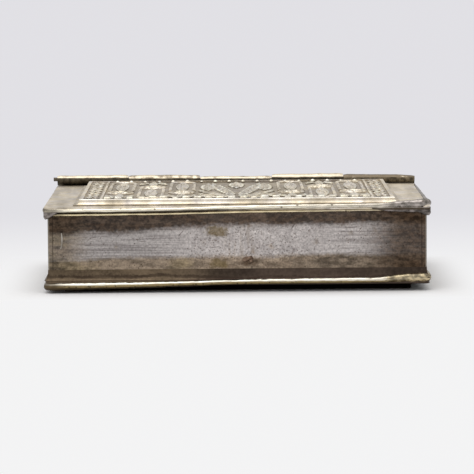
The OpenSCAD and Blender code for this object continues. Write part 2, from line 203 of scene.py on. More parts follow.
class CaseColours(bpy.types.PropertyGroup):
    """Colours of the finishes, in linear light."""
    silver: FloatVectorProperty(name="Silver", description="Rubbed silver", subtype="COLOR",
                                default=(0.80, 0.71, 0.555))
    tarnish: FloatVectorProperty(name="Tarnish", description="Tarnish in the hollows", subtype="COLOR",
                                 default=(0.125, 0.092, 0.058))
    wall_silver: FloatVectorProperty(name="Wall silver", description="Rubbed band of the walls",
                                     subtype="COLOR", default=(0.375, 0.34, 0.33))
    wall_brown: FloatVectorProperty(name="Wall brown", description="Brown tarnish low on the walls",
                                    subtype="COLOR", default=(0.265, 0.208, 0.155))
    # This dark tone also serves as painted shade under the lid and at the walls' right end
    wall_dark: FloatVectorProperty(name="Wall dark", description="Dark tarnish high on the walls",
                                   subtype="COLOR", default=(0.062, 0.038, 0.023))
    cloth: FloatVectorProperty(name="Cloth", description="Wool of the needle pad and lining",
                               subtype="COLOR", default=(0.24, 0.03, 0.035))
    ribbon: FloatVectorProperty(name="Ribbon", description="Ribbon that holds the needles",
                                subtype="COLOR", default=(0.42, 0.30, 0.12))


class StudioSettings(bpy.types.PropertyGroup):
    """Floor and lamps."""
    floor: FloatVectorProperty(name="Floor", description="Floor near the case", subtype="COLOR",
                               default=(0.90, 0.90, 0.905))
    backdrop: FloatVectorProperty(name="Backdrop", description="Floor far behind the case", subtype="COLOR",
                                  default=(0.755, 0.748, 0.782))
    sky: FloatProperty(name="Sky", description="Strength of the world's light overhead", default=0.95)
    horizon: FloatProperty(name="Horizon", description="Strength of the world's light low down", default=0.42)
    key: FloatProperty(name="Key lamp", description="Power of the lamp above", default=1.6, unit="POWER")
    front: FloatProperty(name="Front lamp", description="Power of the lamp in front", default=0.5,
                         unit="POWER")


# Finishes. These tones stay as they are, in linear light; those in pairs are blended by a pattern

# The ridge's tone is a painted highlight
MAUVE_SILVER, RIDGE_HIGHLIGHT = (0.78, 0.72, 0.65), (1.0, 0.965, 0.91)
ORNAMENT_TONES = (0.93, 0.85, 0.68), (0.95, 0.90, 0.80)
COVE_TONES = (0.085, 0.062, 0.048), (0.17, 0.125, 0.082)
# Painted shadow: along the rim, and round the base's foot in the gap over the floor
RIM_SHADOW, FOOT_GAP_SHADOW = (0.04, 0.027, 0.02), (0.012, 0.009, 0.007)
PALE_WALL, SCRATCH_DARK = (0.61, 0.565, 0.545), (0.16, 0.135, 0.125)
OLIVE_BROWN, OLIVE_STAIN, WARM_DARK = (0.255, 0.20, 0.12), (0.19, 0.14, 0.07), (0.085, 0.058, 0.040)
# The corners' pale tone is a painted highlight
SEAM_DARK, CORNER_HIGHLIGHT = (0.03, 0.022, 0.016), (0.42, 0.38, 0.31)
END_TONES = (0.10, 0.072, 0.052), (0.24, 0.20, 0.165)
# Painted light on the wires' tops, and below them painted shade with tarnish
WIRE_LIT_SILVER, WALL_WIRE_LIT_SILVER = (0.95, 0.88, 0.72), (0.86, 0.73, 0.47)
WIRE_GREY, WIRE_SHADE_AND_TARNISH = (0.27, 0.24, 0.23), (0.075, 0.055, 0.036)
# The rim's bright line is a painted highlight, and its grime tone is painted shade as well
RIM_HIGHLIGHT_LINE, RIM_GOLD, RIM_GRIME_AND_SHADE = (0.98, 0.93, 0.81), (0.33, 0.25, 0.12), (0.07, 0.05, 0.028)
RIM_LEFT_END, RIM_NOTCH = (0.10, 0.072, 0.045), (0.05, 0.035, 0.02)
RIM_WORN_TONES = (0.10, 0.072, 0.034), (0.62, 0.50, 0.30)
# The tubes' bright tone is a painted highlight, and their shadow tone painted shade
TUBE_HIGHLIGHT, TUBE_SHADOW = (0.80, 0.70, 0.53), (0.05, 0.04, 0.026)
PIN_TONES = (0.15, 0.125, 0.095), (0.05, 0.04, 0.03)
SOLDER_TONES = (0.26, 0.18, 0.13), (0.06, 0.037, 0.027)
CREASE_TONES = (0.52, 0.48, 0.43), (0.30, 0.27, 0.23)
STEEL_TONES, RUST = ((0.62, 0.63, 0.65), (0.82, 0.83, 0.85)), (0.16, 0.07, 0.03)
THREAD_TONES = (0.36, 0.29, 0.18), (0.62, 0.52, 0.36)


class Value:
    """A shader socket that takes part in ordinary arithmetic."""

    def __init__(self, finish, socket):
        self.finish = finish
        self.socket = socket

    def maths(self, operation, *values):
        return self.finish.node("ShaderNodeMath", {"operation": operation}, dict(enumerate(values)))

    def __add__(self, other):
        return self.maths("ADD", self, other)

    def __radd__(self, other):
        return self.maths("ADD", other, self)

    def __sub__(self, other):
        return self.maths("SUBTRACT", self, other)

    def __rsub__(self, other):
        return self.maths("SUBTRACT", other, self)

    def __mul__(self, other):
        return self.maths("MULTIPLY", self, other)

    def __rmul__(self, other):
        return self.maths("MULTIPLY", other, self)

    def __truediv__(self, other):
        return self.maths("DIVIDE", self, other)

    def __abs__(self):
        return self.maths("ABSOLUTE", self)

    def least(self, other):
        return self.maths("MINIMUM", self, other)

    def most(self, other):
        return self.maths("MAXIMUM", self, other)

    def rise(self, low, high):
        """0 below low, 1 above high, and smooth between; turned round where high is the lower."""
        return self.finish.node("ShaderNodeMapRange", {"interpolation_type": "SMOOTHSTEP"},
                                {"Value": self, "From Min": low, "From Max": high})


class Finish:
    """One material, built up by expressions on its place in millimetres."""

    def __init__(self, name, **constants):
        self.material = bpy.data.materials.new(name)
        self.material.use_nodes = True
        self.tree = self.material.node_tree
        self.shader = self.tree.nodes["Principled BSDF"]
        for socket, value in constants.items():
            self.shader.inputs[socket.replace("_", " ")].default_value = value
        spot = self.node("ShaderNodeTexCoord", output="Object")
        self.place = self.node("ShaderNodeVectorMath", {"operation": "SCALE"}, {0: spot, "Scale": 1 / MM})
        self.x, self.y, self.z = (self.node("ShaderNodeSeparateXYZ", {}, {0: self.place}, axis)
                                  for axis in "XYZ")

    def node(self, kind, settings=None, inputs=None, output=0):
        """Adds a node: its settings first, then the values or links of its sockets."""
        node = self.tree.nodes.new(kind)
        for name, value in (settings or {}).items():
            setattr(node, name, value)
        for name, value in (inputs or {}).items():
            if isinstance(value, Value):
                self.tree.links.new(value.socket, node.inputs[name])
            else:
                node.inputs[name].default_value = value
        return Value(self, node.outputs[output])

    def blend(self, share, first, second):
        """A colour from first, at share 0, to second, at share 1."""
        first, second = ((*c, 1) if isinstance(c, (tuple, list)) or hasattr(c, "hsv") else c
                         for c in (first, second))
        return self.node("ShaderNodeMix", {"data_type": "RGBA"}, {0: share, 6: first, 7: second}, 2)

    def shade(self, colour, share):
        """A colour made lighter or darker by a share that varies."""
        if not isinstance(colour, Value):
            colour = tuple(colour)
        return self.node("ShaderNodeVectorMath", {"operation": "SCALE"}, {0: colour, "Scale": share})

    def cloud(self, size, detail=3.0, stretch=(1, 1, 1), shift=0.0):
        """Noise from 0 to 1 with features of about size millimetres."""
        spot = self.node("ShaderNodeVectorMath", {"operation": "MULTIPLY_ADD"},
                         {0: self.place, 1: stretch, 2: (shift, shift, shift)})
        return self.node("ShaderNodeTexNoise", {}, {"Vector": spot, "Scale": 1 / size, "Detail": detail})

    def mottle(self, size, detail=4.0, stretch=(1, 1, 1), shift=0.0):
        """The same noise, spread out so that it reaches 0 and 1."""
        return self.cloud(size, detail, stretch, shift).rise(0.34, 0.66)

    def stray(self, reach, size, detail=3.0, stretch=(1, 1, 1), shift=0.0):
        """The same noise about 0, with a swing of reach in all, which makes an edge ragged."""
        return (self.cloud(size, detail, stretch, shift) - 0.5) * reach

    def pits(self, size, width, shift=0.0):
        """1 in small round pits, about size millimetres apart, and 0 elsewhere."""
        spot = self.node("ShaderNodeVectorMath", {"operation": "ADD"},
                         {0: self.place, 1: (shift, shift, shift)})
        reach = self.node("ShaderNodeTexVoronoi", {}, {"Vector": spot, "Scale": 1 / size}, "Distance")
        return reach.rise(width, width * 0.4)

    def bump(self, height, depth, under=None):
        """A normal raised by depth millimetres where height is 1, on top of another bump."""
        inputs = {"Height": height, "Distance": depth * MM, "Strength": 1.0}
        if under is not None:
            inputs["Normal"] = under
        return self.node("ShaderNodeBump", {}, inputs)

    def done(self, colour, roughness, normal, metallic=None):
        """Links what varies over the surface, and gives the material."""
        for name, value in (("Base Color", colour), ("Roughness", roughness), ("Normal", normal),
                            ("Metallic", metallic)):
            if value is not None:
                self.tree.links.new(value.socket, self.shader.inputs[name])
        return self.material


def colours():
    """The colours that a user can change."""
    return bpy.context.scene.case_colours


def sizes():
    """The sizes that a user can change."""
    return bpy.context.scene.case_sizes


def rgb(name):
    """One of those colours, as a tuple."""
    return tuple(getattr(colours(), name))


def hammered(f, depth):
    """Broad planishing marks, fine scratches and pits, as one normal; f keeps the last two as masks."""
    marks = f.cloud(2.6, 1.0)
    f.lines = f.cloud(0.9, 2.0, (0.08, 1.0, 1.0), 7.0)
    f.specks = f.pits(1.3, 0.13)
    normal = f.bump(marks, depth * 2.0)
    normal = f.bump(f.lines, depth * 0.25, normal)
    return f.bump(1 - f.specks, depth * 0.6, normal)


def lid_tarnish(f, in_field, low):
    """How dull the lid is: the field's ground and chasing, the steps, the underside and the worn back."""
    front, back = FIELD_FRONT / MM, FIELD_BACK / MM
    chased = f.cloud(0.55, 3.0, (1.0, 0.1, 1.0), 19.0).rise(0.46, 0.60) * in_field
    step = abs(f.z - (LID_TOP / MM + 0.14)).rise(0.2, 0.05)
    under = f.z.rise(LID[0].z / MM + 0.3, LID[0].z / MM + 0.05)
    patch = f.cloud(6.0, 6.0, (1.0, 0.3, 1.0)).rise(0.45, 0.62)
    worn_back = f.y.rise(back + 0.1, back + 0.6) * abs(f.x - WORN_MIDDLE).rise(26.0, 22.0)
    behind = f.y.rise(back + 2.2, back + 3.4)
    back_ground = f.y.rise(back - 5.0, back - 2.5) * abs(f.x - WORN_MIDDLE).rise(28.0, 24.0)
    dark_ground = low * (f.y.rise(front + 7.0, front + 4.5) * 0.95).most(back_ground * 0.9)
    dull = (low * 0.62).most(chased * 0.5).most(step * 0.7).most(under * 0.6)
    dull = dull.most(patch * (1 - in_field) * 0.34).most(behind * 0.8).most(worn_back * 0.9)
    dull = dull + f.specks * 0.2 + f.stray(0.5, 1.4, 5.0, shift=4.0)
    return dull.least(1.0).most(dark_ground).most(0.0)


def lid_finish():
    """Beaten silver: bright where hands rub it, with painted highlight along the front ridge, brown in the
    sunk field and the crevices.
    """
    f = Finish("lid_silver", Metallic=1.0)
    normal = hammered(f, 0.05)
    ground, front, back = GROUND / MM, FIELD_FRONT / MM, FIELD_BACK / MM
    in_field = (abs(f.x).rise(FIELD_X / MM + 0.3, FIELD_X / MM - 0.1) * f.z.rise(ground - 0.3, ground - 0.1)
                * f.y.rise(front - 0.1, front + 0.1) * f.y.rise(back + 0.1, back - 0.1))
    low = in_field * f.z.rise(ground + 0.26, ground + 0.04)
    normal = f.bump(f.pits(0.42, 0.3, 3.0) * low, 0.05, normal)
    normal = f.bump(f.cloud(0.9, 3.0, shift=7.0) * (in_field - low), 0.06, normal)
    normal = f.bump(f.cloud(3.4, 4.0, shift=27.0) * (1 - in_field), 0.16, normal)
    dull = lid_tarnish(f, in_field, low)
    rubbed = f.blend(f.cloud(5.0, 3.0, shift=11.0).rise(0.4, 0.66), rgb("silver"), MAUVE_SILVER)
    # The front strip is made lighter here: a painted highlight
    rubbed = f.shade(rubbed, 0.82 + f.mottle(3.0, 5.0, (1.0, 0.22, 1.0), 2.0) * 0.36
                     + f.y.rise(front + 0.4, front - 0.4) * 0.10 + f.x.rise(10.0, 38.0) * 0.17
                     + in_field * 0.06)
    # The front ridge is painted whiter still: a painted highlight
    ridge = f.z.rise(ground + 0.1, ground + 0.3) * f.y.rise(front + 0.3, front)
    rubbed = f.blend(ridge * 0.85, rubbed, RIDGE_HIGHLIGHT)
    colour = f.blend(dull, rubbed, rgb("tarnish"))
    return f.done(colour, 0.34 + dull * 0.25 + f.lines * 0.1, normal)


def ornament_finish(name, worn=0.0):
    """The pressed ornament: pale on the tops, brown towards the ground and, by worn, along its long sides."""
    f = Finish(name, Metallic=1.0)
    ground, front, back = GROUND / MM, FIELD_FRONT / MM, FIELD_BACK / MM
    normal = f.bump(f.cloud(0.5, 3.0), 0.05)
    normal = f.bump(f.cloud(0.3, 2.0, (0.2, 1, 1)), 0.015, normal)
    deep = f.z.rise(ground + 0.26, ground + 0.02)
    behind = f.y.rise(back - 4.5, back - 2.0) * abs(f.x - WORN_MIDDLE).rise(28.0, 24.0) * worn
    before = f.y.rise(front + 4.2, front + 2.4) * f.y.rise(front + 1.9, front + 2.2) * worn
    dull = (deep * 0.8 + f.stray(0.8, 1.1, 4.0, shift=2.0)).most(behind).most(before)
    dull = dull.least(1.0).most(0.0)
    warm = f.blend(f.cloud(4.0, 3.0, shift=5.0).rise(0.35, 0.7), *ORNAMENT_TONES)
    warm = f.shade(warm, 0.72 + f.mottle(1.6, 5.0, shift=8.0) * 0.52)
    return f.done(f.blend(dull, warm, rgb("tarnish")), 0.30 + dull * 0.25, normal)


def base_finish():
    """The base tray: brown in the cove, with nearly black painted shadow under the rim and round the foot,
    rubbed below.
    """
    f = Finish("base_silver", Metallic=1.0)
    normal = hammered(f, 0.05)
    floor, rim = BASE_WIRE[0].z / MM, BASE_WIRE[1].z / MM
    left = f.x.rise(2.0, -18.0)
    ragged = f.stray(1.2, 2.4, 5.0, (0.4, 1, 1)) + f.stray(0.8, 0.5, 3.0, shift=31.0)
    line = abs(f.z + ragged - rim - 0.35 - left * 0.6).rise(0.55, 0.15)
    line = line * (0.65 + f.cloud(4.0, 3.0).rise(0.35, 0.6) * 0.35)
    patch = f.cloud(5.0, 5.0, (0.5, 1, 1)).rise(0.35, 0.68)
    colour = f.shade(f.blend(left, *COVE_TONES), 0.2 + patch * 0.5 + f.cloud(0.6, 4.0, shift=15.0) * 0.9)
    colour = f.blend(line * 0.8, colour, RIM_SHADOW)
    rubs = f.cloud(0.5, 4.0, (0.06, 1.0, 1.0), 37.0) * 0.22 + f.cloud(2.2, 7.0, shift=39.0) * 0.3
    colour = f.blend(f.z.rise(0.15, 0.02), colour, f.shade(rgb("silver"), 0.24 + rubs))
    # The foot's sides are painted nearly black: the shadow of the gap between the base and the floor
    foot = f.z.rise(floor + 0.25, floor - 0.05) * f.z.rise(0.02, 0.2)
    colour = f.blend(foot, colour, FOOT_GAP_SHADOW)
    return f.done(colour, 0.44 + foot * 0.3, normal)


def scratch_set(f, angle, size, shift):
    """Short scratches that all run at one angle across the walls' faces."""
    turned = f.node("ShaderNodeMapping", {}, {"Vector": f.place, "Rotation": (0.0, angle, 0.0)})
    thin = f.node("ShaderNodeVectorMath", {"operation": "MULTIPLY_ADD"},
                  {0: turned, 1: (0.12, 1.0, 1.0), 2: (shift, shift, shift)})
    line = f.node("ShaderNodeTexNoise", {}, {"Vector": thin, "Scale": 1 / size, "Detail": 1.0})
    return line.rise(0.66, 0.74) * f.cloud(6.0, 2.0, shift=shift).rise(0.5, 0.62)


def stain_spot(f, x, z, half_w, half_h):
    """1 inside a ragged oval on the fore edge, in millimetres, and 0 outside it."""
    across, up = (f.x - x) / half_w, (f.z - z) / half_h
    oval = across * across + up * up + f.stray(3.0, 1.2, 6.0, shift=x)
    return oval.rise(1.5, 0.2) * f.y.rise(FORE_EDGE_INSIDE + 1, FORE_EDGE_INSIDE)


def rubbed_grey(f, cuts):
    """The walls' rubbed band: streaked towards its ends, sponged in the middle, and scratched."""
    middle = abs(f.x - 4.0).rise(22.0, 9.0)
    streaked = f.mottle(0.34, 4.0, (0.03, 1.0, 1.0), 9.0)
    sponged = (f.mottle(0.8, 7.0, (0.7, 1.0, 1.0), 51.0) * 0.5
               + f.mottle(3.2, 6.0, (0.8, 1.0, 1.0), 53.0) * 0.5)
    grey = f.blend(streaked * (1 - middle) + sponged * middle, rgb("wall_silver"), PALE_WALL)
    grey = f.shade(grey, 1.04 - f.x.rise(-4.0, -24.0) * 0.30 - f.x.rise(12.0, 24.0) * 0.07
                   + abs(f.x - 1.0).rise(9.0, 3.0) * 0.05)
    return f.blend(cuts * 0.75, grey, SCRATCH_DARK)


def foot_brown(f, left):
    """The walls' brown foot: olive in places, paler in the middle, and darker towards both ends."""
    olive = f.mottle(3.0, 4.0, (0.4, 1, 1), 43.0) * f.x.rise(-27.0, -31.0).most(abs(f.x + 12.5).rise(4.0, 1.0))
    brown = f.blend(olive * 0.7, rgb("wall_brown"), OLIVE_BROWN)
    return f.shade(brown, 0.72 + f.mottle(0.8, 6.0, (0.4, 1, 1), 41.0) * 0.62 - f.x.rise(6.0, 22.0) * 0.28
                   - left * 0.34 + abs(f.x - 3.0).rise(15.0, 7.0) * 0.22)


def top_tarnish_and_shade(f):
    """The walls' dark tone under the lid, tarnish with painted shade from the lid: a little paler in the
    middle.
    """
    dark = f.blend(f.mottle(2.4, 4.0, (0.5, 1, 1), 49.0), rgb("wall_dark"), WARM_DARK)
    return f.shade(dark, 0.50 + f.mottle(0.7, 6.0, (0.6, 1, 1), 47.0) * 0.95 - f.x.rise(-14.0, -24.0) * 0.14
                   + abs(f.x).rise(12.0, 4.0) * 0.22)


def wall_grime_and_blob_shadow(f, low):
    """Dark grime that lies in the walls' foot band, round the middle, and a painted shadow round and under the
    solder blob.
    """
    grime = (f.mottle(1.5, 6.0, (0.45, 1, 1), 61.0) + f.z.rise(low + 3.0, low + 0.3) * 0.45).rise(0.75, 1.05)
    grime = grime * 0.45 * abs(f.x - 5.5).rise(12.0, 7.0) * f.z.rise(low + 3.2, low + 1.6)
    # The spot round and under the solder blob is painted shadow
    return stain_spot(f, 2.6, 6.6, 2.3, 0.9).most(grime)


def wall_pits(f, broad):
    """Round pits in patches, and a fine speckle over the middle of the fore edge."""
    ragged_x = f.x + broad * 2
    speckle = f.cloud(0.42, 5.0, shift=21.0).rise(0.54, 0.66) * (ragged_x.rise(-13.0, -7.0)
                                                                 * ragged_x.rise(26.0, 10.0))
    return (f.pits(0.8, 0.24, 5.0) * f.cloud(5.0, 3.0, shift=8.0).rise(0.42, 0.55)).most(speckle * 0.75)


def wall_finish():
    """The walls: dark under the lid, with tarnish and painted shade, rubbed grey across the middle, brown
    along the foot.
    """
    f = Finish("wall_silver", Metallic=1.0)
    normal = hammered(f, 0.03)
    low, high, face = WALL[0].z / MM, WALL[1].z / MM, WALL[0].y / MM
    broad = f.stray(3.4, 6.0, 7.0, (0.35, 1, 1))
    fine = f.stray(1.5, 0.6, 6.0, (0.7, 1, 1), 23.0)
    ragged = broad + fine
    left_x = f.x.least(0.0)
    # The band under the lid: tarnish with painted shade from the lid's edge
    top = (f.z + ragged - left_x * 0.034).rise(high - 4.4, high - 2.7)
    foot = (f.z + ragged * 0.8 - left_x * 0.008).rise(low + 3.4, low + 2.0)
    right = (f.x + broad * 1.2 + fine).rise(25.0, 36.0)
    left = (f.x + broad * 1.4 + fine * 1.5).rise(-31.0, -38.5)
    pits = wall_pits(f, broad)
    cuts = scratch_set(f, 0.9, 0.30, 3.0).most(scratch_set(f, -0.7, 0.26, 31.0))
    cuts = cuts.most(scratch_set(f, 0.1, 0.30, 57.0))
    dark = top_tarnish_and_shade(f)
    stain = f.cloud(3.6, 5.0, shift=17.0).rise(0.60, 0.72)
    smear = f.cloud(1.0, 4.0, (1.0, 1.0, 0.12), 33.0).rise(0.46, 0.6) * abs(f.x - 0.3).rise(4.5, 1.5) * 0.65
    browned = foot.most(stain * 0.6).most(left * 0.85).most(smear * 0.55).least(1.0)
    colour = f.blend(browned, rubbed_grey(f, cuts), foot_brown(f, left))
    colour = f.blend((top * 0.93).most(pits * 0.75).most(wall_grime_and_blob_shadow(f, low) * 0.8), colour, dark)
    spots = stain_spot(f, -4.6, 13.5, 2.6, 1.3).most(stain_spot(f, -4.0, 6.3, 2.2, 1.1))
    colour = f.blend(spots * 0.8, colour, OLIVE_STAIN)
    # The right end is darkened with the same tone: a painted dark reflection, with tarnish
    colour = f.blend(right * 0.9, colour, dark)
    grain = f.cloud(0.42, 5.0, shift=13.0)
    ends = abs(f.x).rise(41.2, 41.6) * f.y.rise(FORE_EDGE_INSIDE, FORE_EDGE_INSIDE + 1.0)
    worn_end = f.shade(f.blend(f.mottle(5.0, 7.0, (1.0, 0.5, 1.0), 63.0), *END_TONES),
                       0.75 + f.mottle(0.9, 5.0, (1.0, 0.15, 1.0), 67.0) * 0.3)
    colour = f.blend(ends * 0.7, f.shade(colour, 0.36 + grain * 1.36), worn_end)
    seam = abs(abs(f.x) - 40.7).rise(0.16, 0.04) * f.y.rise(face + 0.2, face + 0.05)
    colour = f.blend(seam * 0.6, colour, SEAM_DARK)
    # A painted highlight along the walls' upright corners
    corner = abs(f.x).rise(41.35, 41.6) * f.y.rise(face + 0.5, face + 0.3)
    colour = f.blend(corner * 0.5, colour, CORNER_HIGHLIGHT)
    normal = f.bump(f.cloud(0.34, 4.0, (0.03, 1.0, 1.0), 9.0), 0.012, normal)
    normal = f.bump(1 - pits.most(cuts * 0.6).most(seam), 0.05, normal)
    return f.done(colour, 0.40 + top * 0.1 + grain * 0.12, normal)


def wire_finish(name, middle, underside_shade=0.9, bright=WIRE_LIT_SILVER):
    """Thin wire: rubbed and painted lit above its middle height, in millimetres, brown with painted shade
    below, and grey at its corners.
    """
    f = Finish(name, Metallic=1.0)
    normal = hammered(f, 0.03)
    height = f.z + f.x.rise(0.0, -30.0) * 0.4
    # Below the middle the wire is darkened: painted shade on its underside, with tarnish
    low = (height + f.stray(0.35, 1.5, 4.0, (0.4, 1, 1))).rise(middle + 0.12, middle - 0.12)
    ragged_x = f.x + f.stray(6.0, 3.0)
    corner = ragged_x.rise(26.0, 36.0).most(ragged_x.rise(2.0, 30.0) * 0.55)
    dull = (low * underside_shade).most(f.pits(1.7, 0.22, 4.0) * 0.7).most(ragged_x.rise(-36.0, -41.0) * 0.7)
    # The wire's top is painted lit
    shine = f.shade(bright, 0.45 + f.cloud(1.4, 5.0, (0.5, 1, 1), 9.0) * 1.05)
    grey = f.shade(WIRE_GREY, 0.35 + f.mottle(0.9, 6.0, (0.6, 1, 1), 29.0) * 1.25)
    colour = f.blend(dull, f.blend(corner * 0.9, shine, grey), WIRE_SHADE_AND_TARNISH)
    near_corner = abs(f.x).rise(38.6, 39.6).most(f.x.rise(30.0, 33.0))
    lip = f.z.rise(middle - 0.40, middle - 0.60) * near_corner * f.y.rise(-24.0, -25.5)
    colour = f.blend(lip * 0.8, colour, f.shade(grey, 0.8))
    return f.done(colour, 0.26 + dull * 0.3, normal)


def base_wire_finish(middle):
    """The base's heavy wire: a rubbed line with painted highlight along its upper side, and gold-brown below
    it, with grime and painted shade on its underside.
    """
    f = Finish("base_wire_metal", Metallic=1.0)
    normal = hammered(f, 0.04)
    height = f.z + f.x.rise(5.0, -36.0) * 0.64 + f.stray(0.3, 0.9, 4.0, (0.4, 1, 1))
    low = height.rise(middle + 0.32, middle + 0.12)
    lowest = height.rise(middle - 0.12, middle - 0.42)
    patchy = f.stray(6.0, 3.0)
    far = (f.x + patchy).rise(29.0, 34.0)
    near = (f.x + patchy * 0.5).rise(-36.5, -40.5)
    # A painted highlight along the wire's top, on rubbed silver
    line = f.shade(RIM_HIGHLIGHT_LINE, 0.80 + f.cloud(2.0, 4.0, shift=9.0) * 0.5)
    gold = f.shade(RIM_GOLD, 0.5 + f.cloud(0.9, 4.0, shift=3.0) * 1.0)
    # The underside is darkened: grime with painted shade
    colour = f.blend(lowest, f.blend(low, line, gold), RIM_GRIME_AND_SHADE)
    worn = f.blend(f.mottle(0.8, 6.0, (0.7, 1, 1), 5.0), *RIM_WORN_TONES)
    colour = f.blend(far * 0.9, colour, worn)
    colour = f.blend(near * 0.85, colour, RIM_LEFT_END)
    notch = f.pits(0.9, 0.3, 4.0) * low
    colour = f.blend(notch * 0.7, colour, RIM_NOTCH)
    normal = f.bump(1 - notch, 0.08, normal)
    return f.done(colour, 0.28 + low * 0.2, normal)


def hinge_finish(name, top, lit, brown):
    """One piece of the hinge tube: rubbed and painted lit for lit millimetres from its top down, and painted
    shade below.
    """
    f = Finish(name, Metallic=1.0)
    normal = hammered(f, 0.06)
    edge = top - lit
    # Below the lit top the tube gets painted shade
    under = (f.z + f.stray(0.4, 1.6, 4.0, (0.6, 1, 1))).rise(edge + 0.14, edge - 0.14)
    blotch = f.cloud(1.8, 5.0, shift=6.0).rise(0.62 - brown * 0.4, 0.80 - brown * 0.4)
    # The top is painted lit: a painted highlight on rubbed silver
    rubbed = f.shade(TUBE_HIGHLIGHT, 0.55 + f.cloud(1.2, 4.0, shift=12.0) * 0.8)
    colour = f.blend(blotch * (0.5 + 0.4 * brown), rubbed, rgb("tarnish"))
    level = 1 + 2.4 * brown
    shadowed = f.shade(TUBE_SHADOW, level * 0.5 + f.mottle(0.9, 5.0, shift=35.0) * level)
    colour = f.blend(under * 0.97, colour, shadowed)
    return f.done(colour, 0.34 + under * 0.2 + blotch * 0.1, normal)


def dark_metal_finish(name, base, tint):
    """Plain metal in two tones, used for the bezels, the pin, the solder and the crease."""
    f = Finish(name, Metallic=1.0)
    normal = hammered(f, 0.04)
    dull = f.cloud(2.2, 4.0).rise(0.35, 0.68)
    return f.done(f.blend(dull, base, tint), 0.38 + dull * 0.2, normal)


def steel_finish():
    """Needle steel with faint drawing marks along each needle and a few rust specks."""
    f = Finish("needle_steel", Metallic=1.0)
    lines = f.cloud(0.12, 2.0, (1.0, 0.03, 1.0))
    rust = f.pits(2.3, 0.12) * f.cloud(6.0, 2.0).rise(0.5, 0.62)
    colour = f.blend(rust, f.blend(lines, *STEEL_TONES), RUST)
    return f.done(colour, 0.16 + rust * 0.5 + lines * 0.08, f.bump(lines, 0.004))


def wool_finish(name, tone):
    """Felted wool: soft clumps, fine fibres and a few paler hairs."""
    f = Finish(name, Sheen_Weight=0.6, Sheen_Roughness=0.5, Specular_IOR_Level=0.2)
    clumps = f.cloud(1.6, 4.0)
    fibres = f.cloud(0.22, 4.0, (0.35, 1.0, 1.0), 3.0)
    hairs = f.cloud(0.3, 3.0, (1.0, 0.12, 1.0), 21.0).rise(0.62, 0.74)
    deep = tuple(c * 0.55 for c in tone)
    pale = tuple(min(1.0, c * 1.7 + 0.04) for c in tone)
    colour = f.blend(clumps, deep, tone)
    colour = f.blend(hairs * 0.6, colour, pale)
    normal = f.bump(clumps, 0.12)
    normal = f.bump(fibres, 0.08, normal)
    return f.done(colour, 0.82 + fibres * 0.12, normal)


def ribbon_finish():
    """Grosgrain: fine ribs across the band, with a denser selvedge."""
    f = Finish("ribbon", Sheen_Weight=0.35, Specular_IOR_Level=0.35)
    ribs = f.node("ShaderNodeTexWave", {"bands_direction": "X"}, {"Vector": f.place, "Scale": 0.62}, "Fac")
    threads = f.node("ShaderNodeTexWave", {"bands_direction": "Y"}, {"Vector": f.place, "Scale": 1.1}, "Fac")
    wear = f.cloud(3.0, 4.0)
    tone = rgb("ribbon")
    colour = f.blend(ribs, tuple(c * 0.5 for c in tone), tone)
    colour = f.blend(wear.rise(0.55, 0.8) * 0.4, colour, tuple(min(1.0, c * 1.5) for c in tone))
    normal = f.bump(ribs, 0.12)
    normal = f.bump(threads, 0.04, normal)
    return f.done(colour, 0.6 + wear * 0.2, normal)


def thread_finish():
    """Twisted linen thread."""
    f = Finish("thread", Sheen_Weight=0.3, Specular_IOR_Level=0.3)
    twist = f.cloud(0.12, 2.0)
    return f.done(f.blend(twist, *THREAD_TONES), 0.7 + twist * 0.1, f.bump(twist, 0.03))


def floor_finish():
    """A pale seamless floor: lit and shadowed near the case, and one plain tone far away from it."""
    studio = bpy.context.scene.case_studio
    f = Finish("studio_floor", Specular_IOR_Level=0.1, Roughness=0.75)
    outside = (abs(f.x) - CAD_BOX[1][0] / MM).most(abs(f.y) - CAD_BOX[1][1] / MM)
    shadow_reach = 13.0
    away = outside.rise(0.0, shadow_reach)
    colour = f.blend(f.y.rise(-20.0, 170.0), tuple(studio.floor), tuple(studio.backdrop))
    camera, glossy, through = (f.node("ShaderNodeLightPath", output=f"Is {kind} Ray")
                               for kind in ("Camera", "Glossy", "Transmission"))
    plain = f.node("ShaderNodeEmission", {}, {"Color": colour})
    f.tree.links.new(colour.socket, f.shader.inputs["Base Color"])
    mixed = f.node("ShaderNodeMixShader", {}, {0: away * camera.most(glossy).most(through), 2: plain})
    f.tree.links.new(f.shader.outputs[0], mixed.socket.node.inputs[1])
    f.tree.links.new(mixed.socket, f.tree.nodes["Material Output"].inputs["Surface"])
    return f.material


def wear_finish(piece, material):
    """Gives a new piece its one material."""
    piece.data.materials.clear()
    piece.data.materials.append(material)


def finish_node(name, material):
    """Gives a CAD node its finish through its material slots."""
    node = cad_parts[name]
    for slot in node.material_slots:
        slot.material = material
    if not node.material_slots:
        node.data.materials.append(material)


# Modelling helpers

def select_only(*objects):
    """Selects some objects and nothing else, and makes the first of them active."""
    bpy.ops.object.select_all(action="DESELECT")
    for o in objects:
        o.select_set(True)
    bpy.context.view_layer.objects.active = objects[0]


def added(operator, **settings):
    """What an operator adds to the scene, with nothing else selected."""
    bpy.ops.object.select_all(action="DESELECT")
    operator(**settings)
    return bpy.context.object


def apply_place():
    """Puts the place, turn and scale of all that is selected into the meshes."""
    bpy.ops.object.transform_apply(location=True, rotation=True, scale=True)


def joined(parts):
    """One object from several, with each one's place in the mesh."""
    select_only(*parts)
    apply_place()
    bpy.ops.object.join()
    return bpy.context.object


@contextmanager
def edit_mode(piece):
    """Edit mode on one piece, with the whole of its mesh selected."""
    select_only(piece)
    bpy.ops.object.mode_set(mode="EDIT")
    bpy.ops.mesh.select_all(action="SELECT")
    yield
    bpy.ops.object.mode_set(mode="OBJECT")


